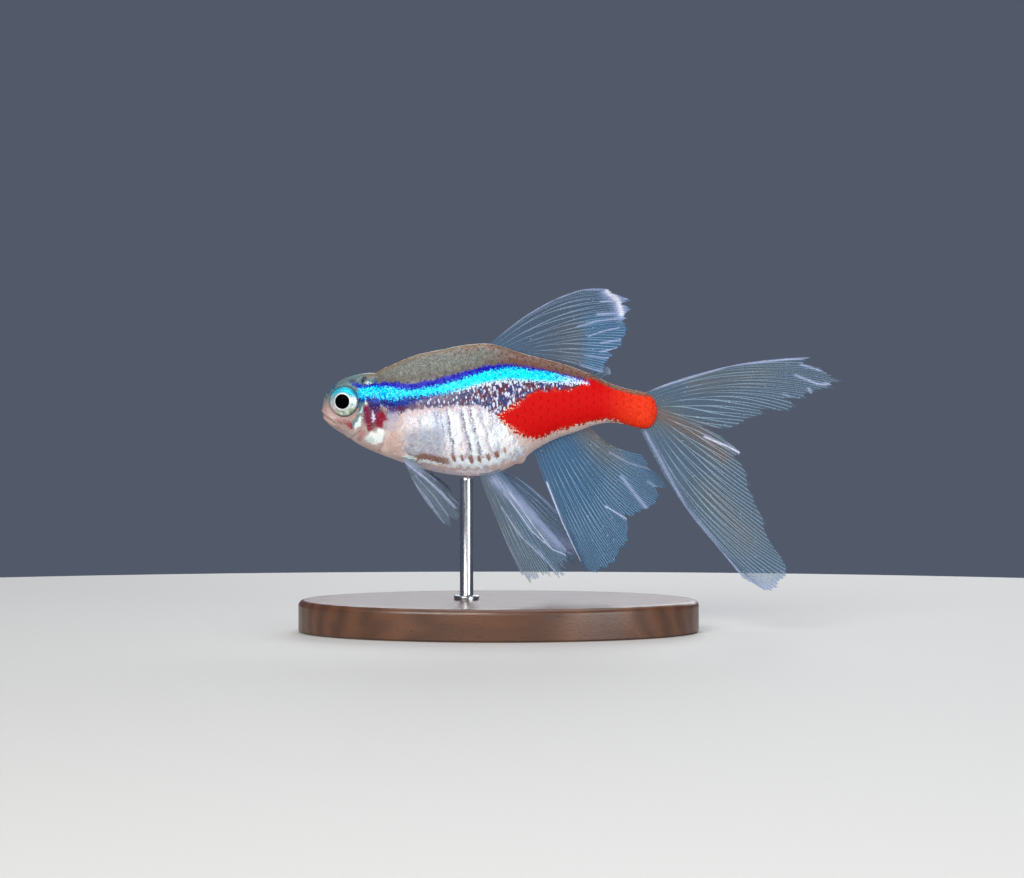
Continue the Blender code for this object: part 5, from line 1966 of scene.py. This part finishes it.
# %% Make the pectoral fins
PECTORAL_RAYS = (
    (5.99, -3.30, 7.34, -5.99, 9.28, -8.46),
    (6.14, -3.35, 7.93, -6.06, 9.96, -8.46),
    (6.29, -3.40, 8.38, -5.76, 10.55, -7.93),
    (6.44, -3.42, 8.53, -5.31, 10.25, -7.04),
    (6.59, -3.42, 8.31, -4.95, 9.73, -5.95),
)
PECTORAL_WHITE = (
    (((6.3, -3.9), (8.2, -5.4), (10.2, -7.3)), 0.09, 0.85),
    (((6.1, -4.1), (7.6, -6.3), (9.3, -8.4)), 0.08, 0.6),
    (((6.2, -3.7), (7.4, -4.6)), 0.3, 0.5),
    (((7.3, -4.6), (9.0, -6.0), (10.5, -7.6)), 0.06, 0.9),
    (((6.7, -5.0), (8.0, -6.6), (8.8, -7.7)), 0.06, 0.7),
    (((7.6, -4.5), (9.0, -5.4), (9.8, -5.95)), 0.05, 0.8),
    (((7.0, -4.8), (8.4, -6.3), (9.6, -7.9)), 0.05, 0.6),
)


def pectoral_paint(x, z, k, t):
    """Almost clear film that is denser at the root."""
    return 0.11 + 0.2 * bell(t, 0.2), 0.4, streaks(x, z, PECTORAL_WHITE)


for number, (name, sign) in enumerate((("left", -1), ("right", 1))):
    make_fin(
        f"pectoral_fin_{name}_film", [f"pectoral_fin_{name}"], PECTORAL_RAYS,
        paired_side(1.15, 3.6, sign, 0.2), (11, 14, 80), 7 + number, pectoral_paint,
        tears=((0.55, 0.03, 0.1), (0.78, 0.04, 0.14), (0.3, 0.03, 0.06)), ragged=1.6,
    )

# %% [markdown]
# ## The adipose fin
#
# The small lobe before the tail is a fold of skin without bony rays. A flattened ball could stand in for
# it. It is made as all the other fins are, with three key rays and no pleats, and so it has their film and
# their rim.

# %% Make the adipose fin
ADIPOSE_RAYS = (
    (20.00, 2.70, 20.55, 3.12, 21.35, 3.22),
    (20.35, 2.52, 20.90, 2.85, 21.60, 2.98),
    (20.75, 2.36, 21.15, 2.55, 21.65, 2.68),
)


def adipose_paint(x, z, k, t):
    """Grey film with a white rim."""
    return 0.45 - 0.1 * t, 0.35, 0.5 * fade(t, 0.6, 1.0)


make_fin(
    "adipose_fin_film", ["adipose_fin"], ADIPOSE_RAYS, paired_side(0.0, 0.0, 1, 0.0), (3, 16, 40), 9,
    adipose_paint, slender=0.6, pleat=0.0,
)

# %% [markdown]
# ## The stand
#
# The model is held over an oval base of oiled walnut by one polished steel pin. The base is a profile
# carried round an ellipse: flat underneath, upright at the side, rounded at the top edge. The grain is
# made of long stretched rings, as a board cut along the trunk shows them.

# %% Oiled walnut
WALNUT_DARK = display(58, 34, 22)
WALNUT_LIGHT = display(118, 76, 48)
WALNUT_RED = display(88, 52, 32)
WALNUT_PORE = display(30, 18, 12)


def wood_material():
    """Stretched rings for the grain, fine pores along it, and a soft oiled gloss."""
    material, w, shader = new_material("oiled_walnut")
    where = w.place((0.12, 1.0, 1.0), (0.0, 0.0, 0.04))
    bent = w.grain(2.6, 3.0, w.place((0.3, 1.0, 1.0)))
    sockets = {"Vector": where, "Scale": 260.0, "Distortion": 9.0, "Detail": 3.0, "Detail Scale": 0.9}
    rings = w.add("ShaderNodeTexWave", sockets, bands_direction="Y").outputs["Fac"]
    pores = w.grain(0.09, 2.0, w.place((0.05, 1.0, 1.0)))
    colour = w.blend(w.scaled(rings, 0.2, 0.7), WALNUT_DARK, WALNUT_LIGHT)
    colour = w.blend(w.scaled(bent, 0.0, 0.6), colour, WALNUT_RED)
    colour = w.blend(w.step(pores, 0.62, 0.75), colour, WALNUT_PORE)
    w.put(shader["Base Color"], colour)
    w.put(shader["Roughness"], w.scaled(pores, 0.3, 0.5))
    w.put(shader["Normal"], w.bump(w.plus(pores, rings), 0.015))
    w.put(shader["Coat Weight"], 0.3)
    w.put(shader["Coat Roughness"], 0.2)
    return material


WALNUT = wood_material()
print("finish:", WALNUT.name)

# %% Make the base
BASE_HALF = (15.0, 9.0)
BASE_HEIGHT = 2.4
BASE_EDGE = 0.45
BASE_ROUND = 192
FOOT_BEVEL = 0.15


def make_base():
    """Carry the edge's profile, an inset and a height, round the ellipse."""
    corner = np.linspace(0, np.pi / 2, 9)
    far_in = 0.7 * BASE_HALF[1]
    rounded_in = BASE_EDGE * (1 - np.cos(corner))
    rounded_up = BASE_HEIGHT - BASE_EDGE * (1 - np.sin(corner))
    inset = [far_in, 0.6, FOOT_BEVEL, 0.0, *rounded_in, 1.2, far_in]
    height = [0.0, 0.0, 0.0, FOOT_BEVEL, *rounded_up, BASE_HEIGHT, BASE_HEIGHT]
    turn = np.linspace(0, 2 * np.pi, BASE_ROUND, endpoint=False)[None, :]
    inset, height = np.array(inset)[:, None], np.array(height)[:, None]
    x = (BASE_HALF[0] - inset) * np.cos(turn)
    y = (BASE_HALF[1] - inset) * np.sin(turn)
    rings = np.stack(np.broadcast_arrays(x, y, height), -1)
    points = np.vstack([rings.reshape(-1, 3), [(0, 0, 0), (0, 0, BASE_HEIGHT)]]) * MM
    base = add_mesh("walnut_base", points, turned_faces(len(inset), BASE_ROUND))
    base.data.set_sharp_from_angle(angle=np.radians(40))
    base.data.materials.append(WALNUT)
    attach(base, "root")
    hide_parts("stand_base")
    report(base)


make_base()

# %% [markdown]
# ## The pin
#
# A steel pin carries the fish from below, as in a museum case. It is turned: a list of radii and heights
# carried round its axis, with a low collar where it enters the wood and a round head that bears on the
# belly. Fine lines along the steel keep it from looking like a mirror.

# %% The profile of the pin
PIN_RADIUS = 0.5
PIN_SINK = 0.1
COLLAR_RADIUS = 0.95
COLLAR_HEIGHT = 0.32
COLLAR_EDGE = 0.12
COLLAR_FOOT = 0.98
FILLET_OUT = 0.04
FILLET_UP = 0.08


def pin_profile(neck):
    """Radii and heights of the turned pin: collar, rod, and from the neck on a round head."""
    bead = np.linspace(0, np.pi / 2, 6)
    top = BASE_HEIGHT + COLLAR_HEIGHT
    edge = COLLAR_RADIUS - COLLAR_EDGE + COLLAR_EDGE * np.cos(bead)
    r = [COLLAR_RADIUS * COLLAR_FOOT, *edge, PIN_RADIUS + FILLET_OUT, PIN_RADIUS]
    edge_up = top - COLLAR_EDGE + COLLAR_EDGE * np.sin(bead)
    z = [BASE_HEIGHT - PIN_SINK, *edge_up, top, top + FILLET_UP]
    r += [PIN_RADIUS, *(PIN_RADIUS * np.cos(bead[1:-1]))]
    z += [neck, *(neck + PIN_RADIUS * np.sin(bead[1:-1]))]
    return np.array(r)[:, None], np.array(z)[:, None]


print("circles on the pin:", len(pin_profile(10.0)[0]))

# %% Make the pin
PIN_ALONG = 10.8
PIN_SIDES = 64
HEAD_DROP = 0.3
STEEL_DARK = display(176, 178, 182)
STEEL_LIGHT = display(206, 208, 212)


def steel_material():
    """Steel with fine lines along the pin."""
    material, w, shader = new_material("polished_steel")
    lines = w.grain(0.05, 2.0, w.place((1.0, 1.0, 0.02)))
    w.put(shader["Base Color"], w.blend(lines, STEEL_DARK, STEEL_LIGHT))
    w.put(shader["Roughness"], w.scaled(lines, 0.16, 0.34))
    w.put(shader["Metallic"], 1.0)
    return material


def make_pin():
    """A turned rod with a low collar where it enters the wood; its round head bears on the belly."""
    neck = float(body_profile(np.array(PIN_ALONG))[1]) + AXIS_HEIGHT - HEAD_DROP
    r, z = pin_profile(neck)
    turn = np.linspace(0, 2 * np.pi, PIN_SIDES, endpoint=False)[None, :]
    middle = PIN_ALONG - BASE_ALONG
    x = middle + r * np.cos(turn)
    rings = np.stack(np.broadcast_arrays(x, r * np.sin(turn), z), -1)
    ends = [(middle, 0, BASE_HEIGHT - PIN_SINK), (middle, 0, neck + PIN_RADIUS)]
    points = np.vstack([rings.reshape(-1, 3), ends]) * MM
    pin = add_mesh("steel_pin", points, turned_faces(len(r), PIN_SIDES))
    pin.data.set_sharp_from_angle(angle=np.radians(35))
    pin.data.materials.append(steel_material())
    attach(pin, "root")
    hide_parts("stand_pin")
    report(pin)


make_pin()

# %% [markdown]
# ## The end
#
# The finished model may not be larger than its solids.

# %% Finish
print("the fish is finished")
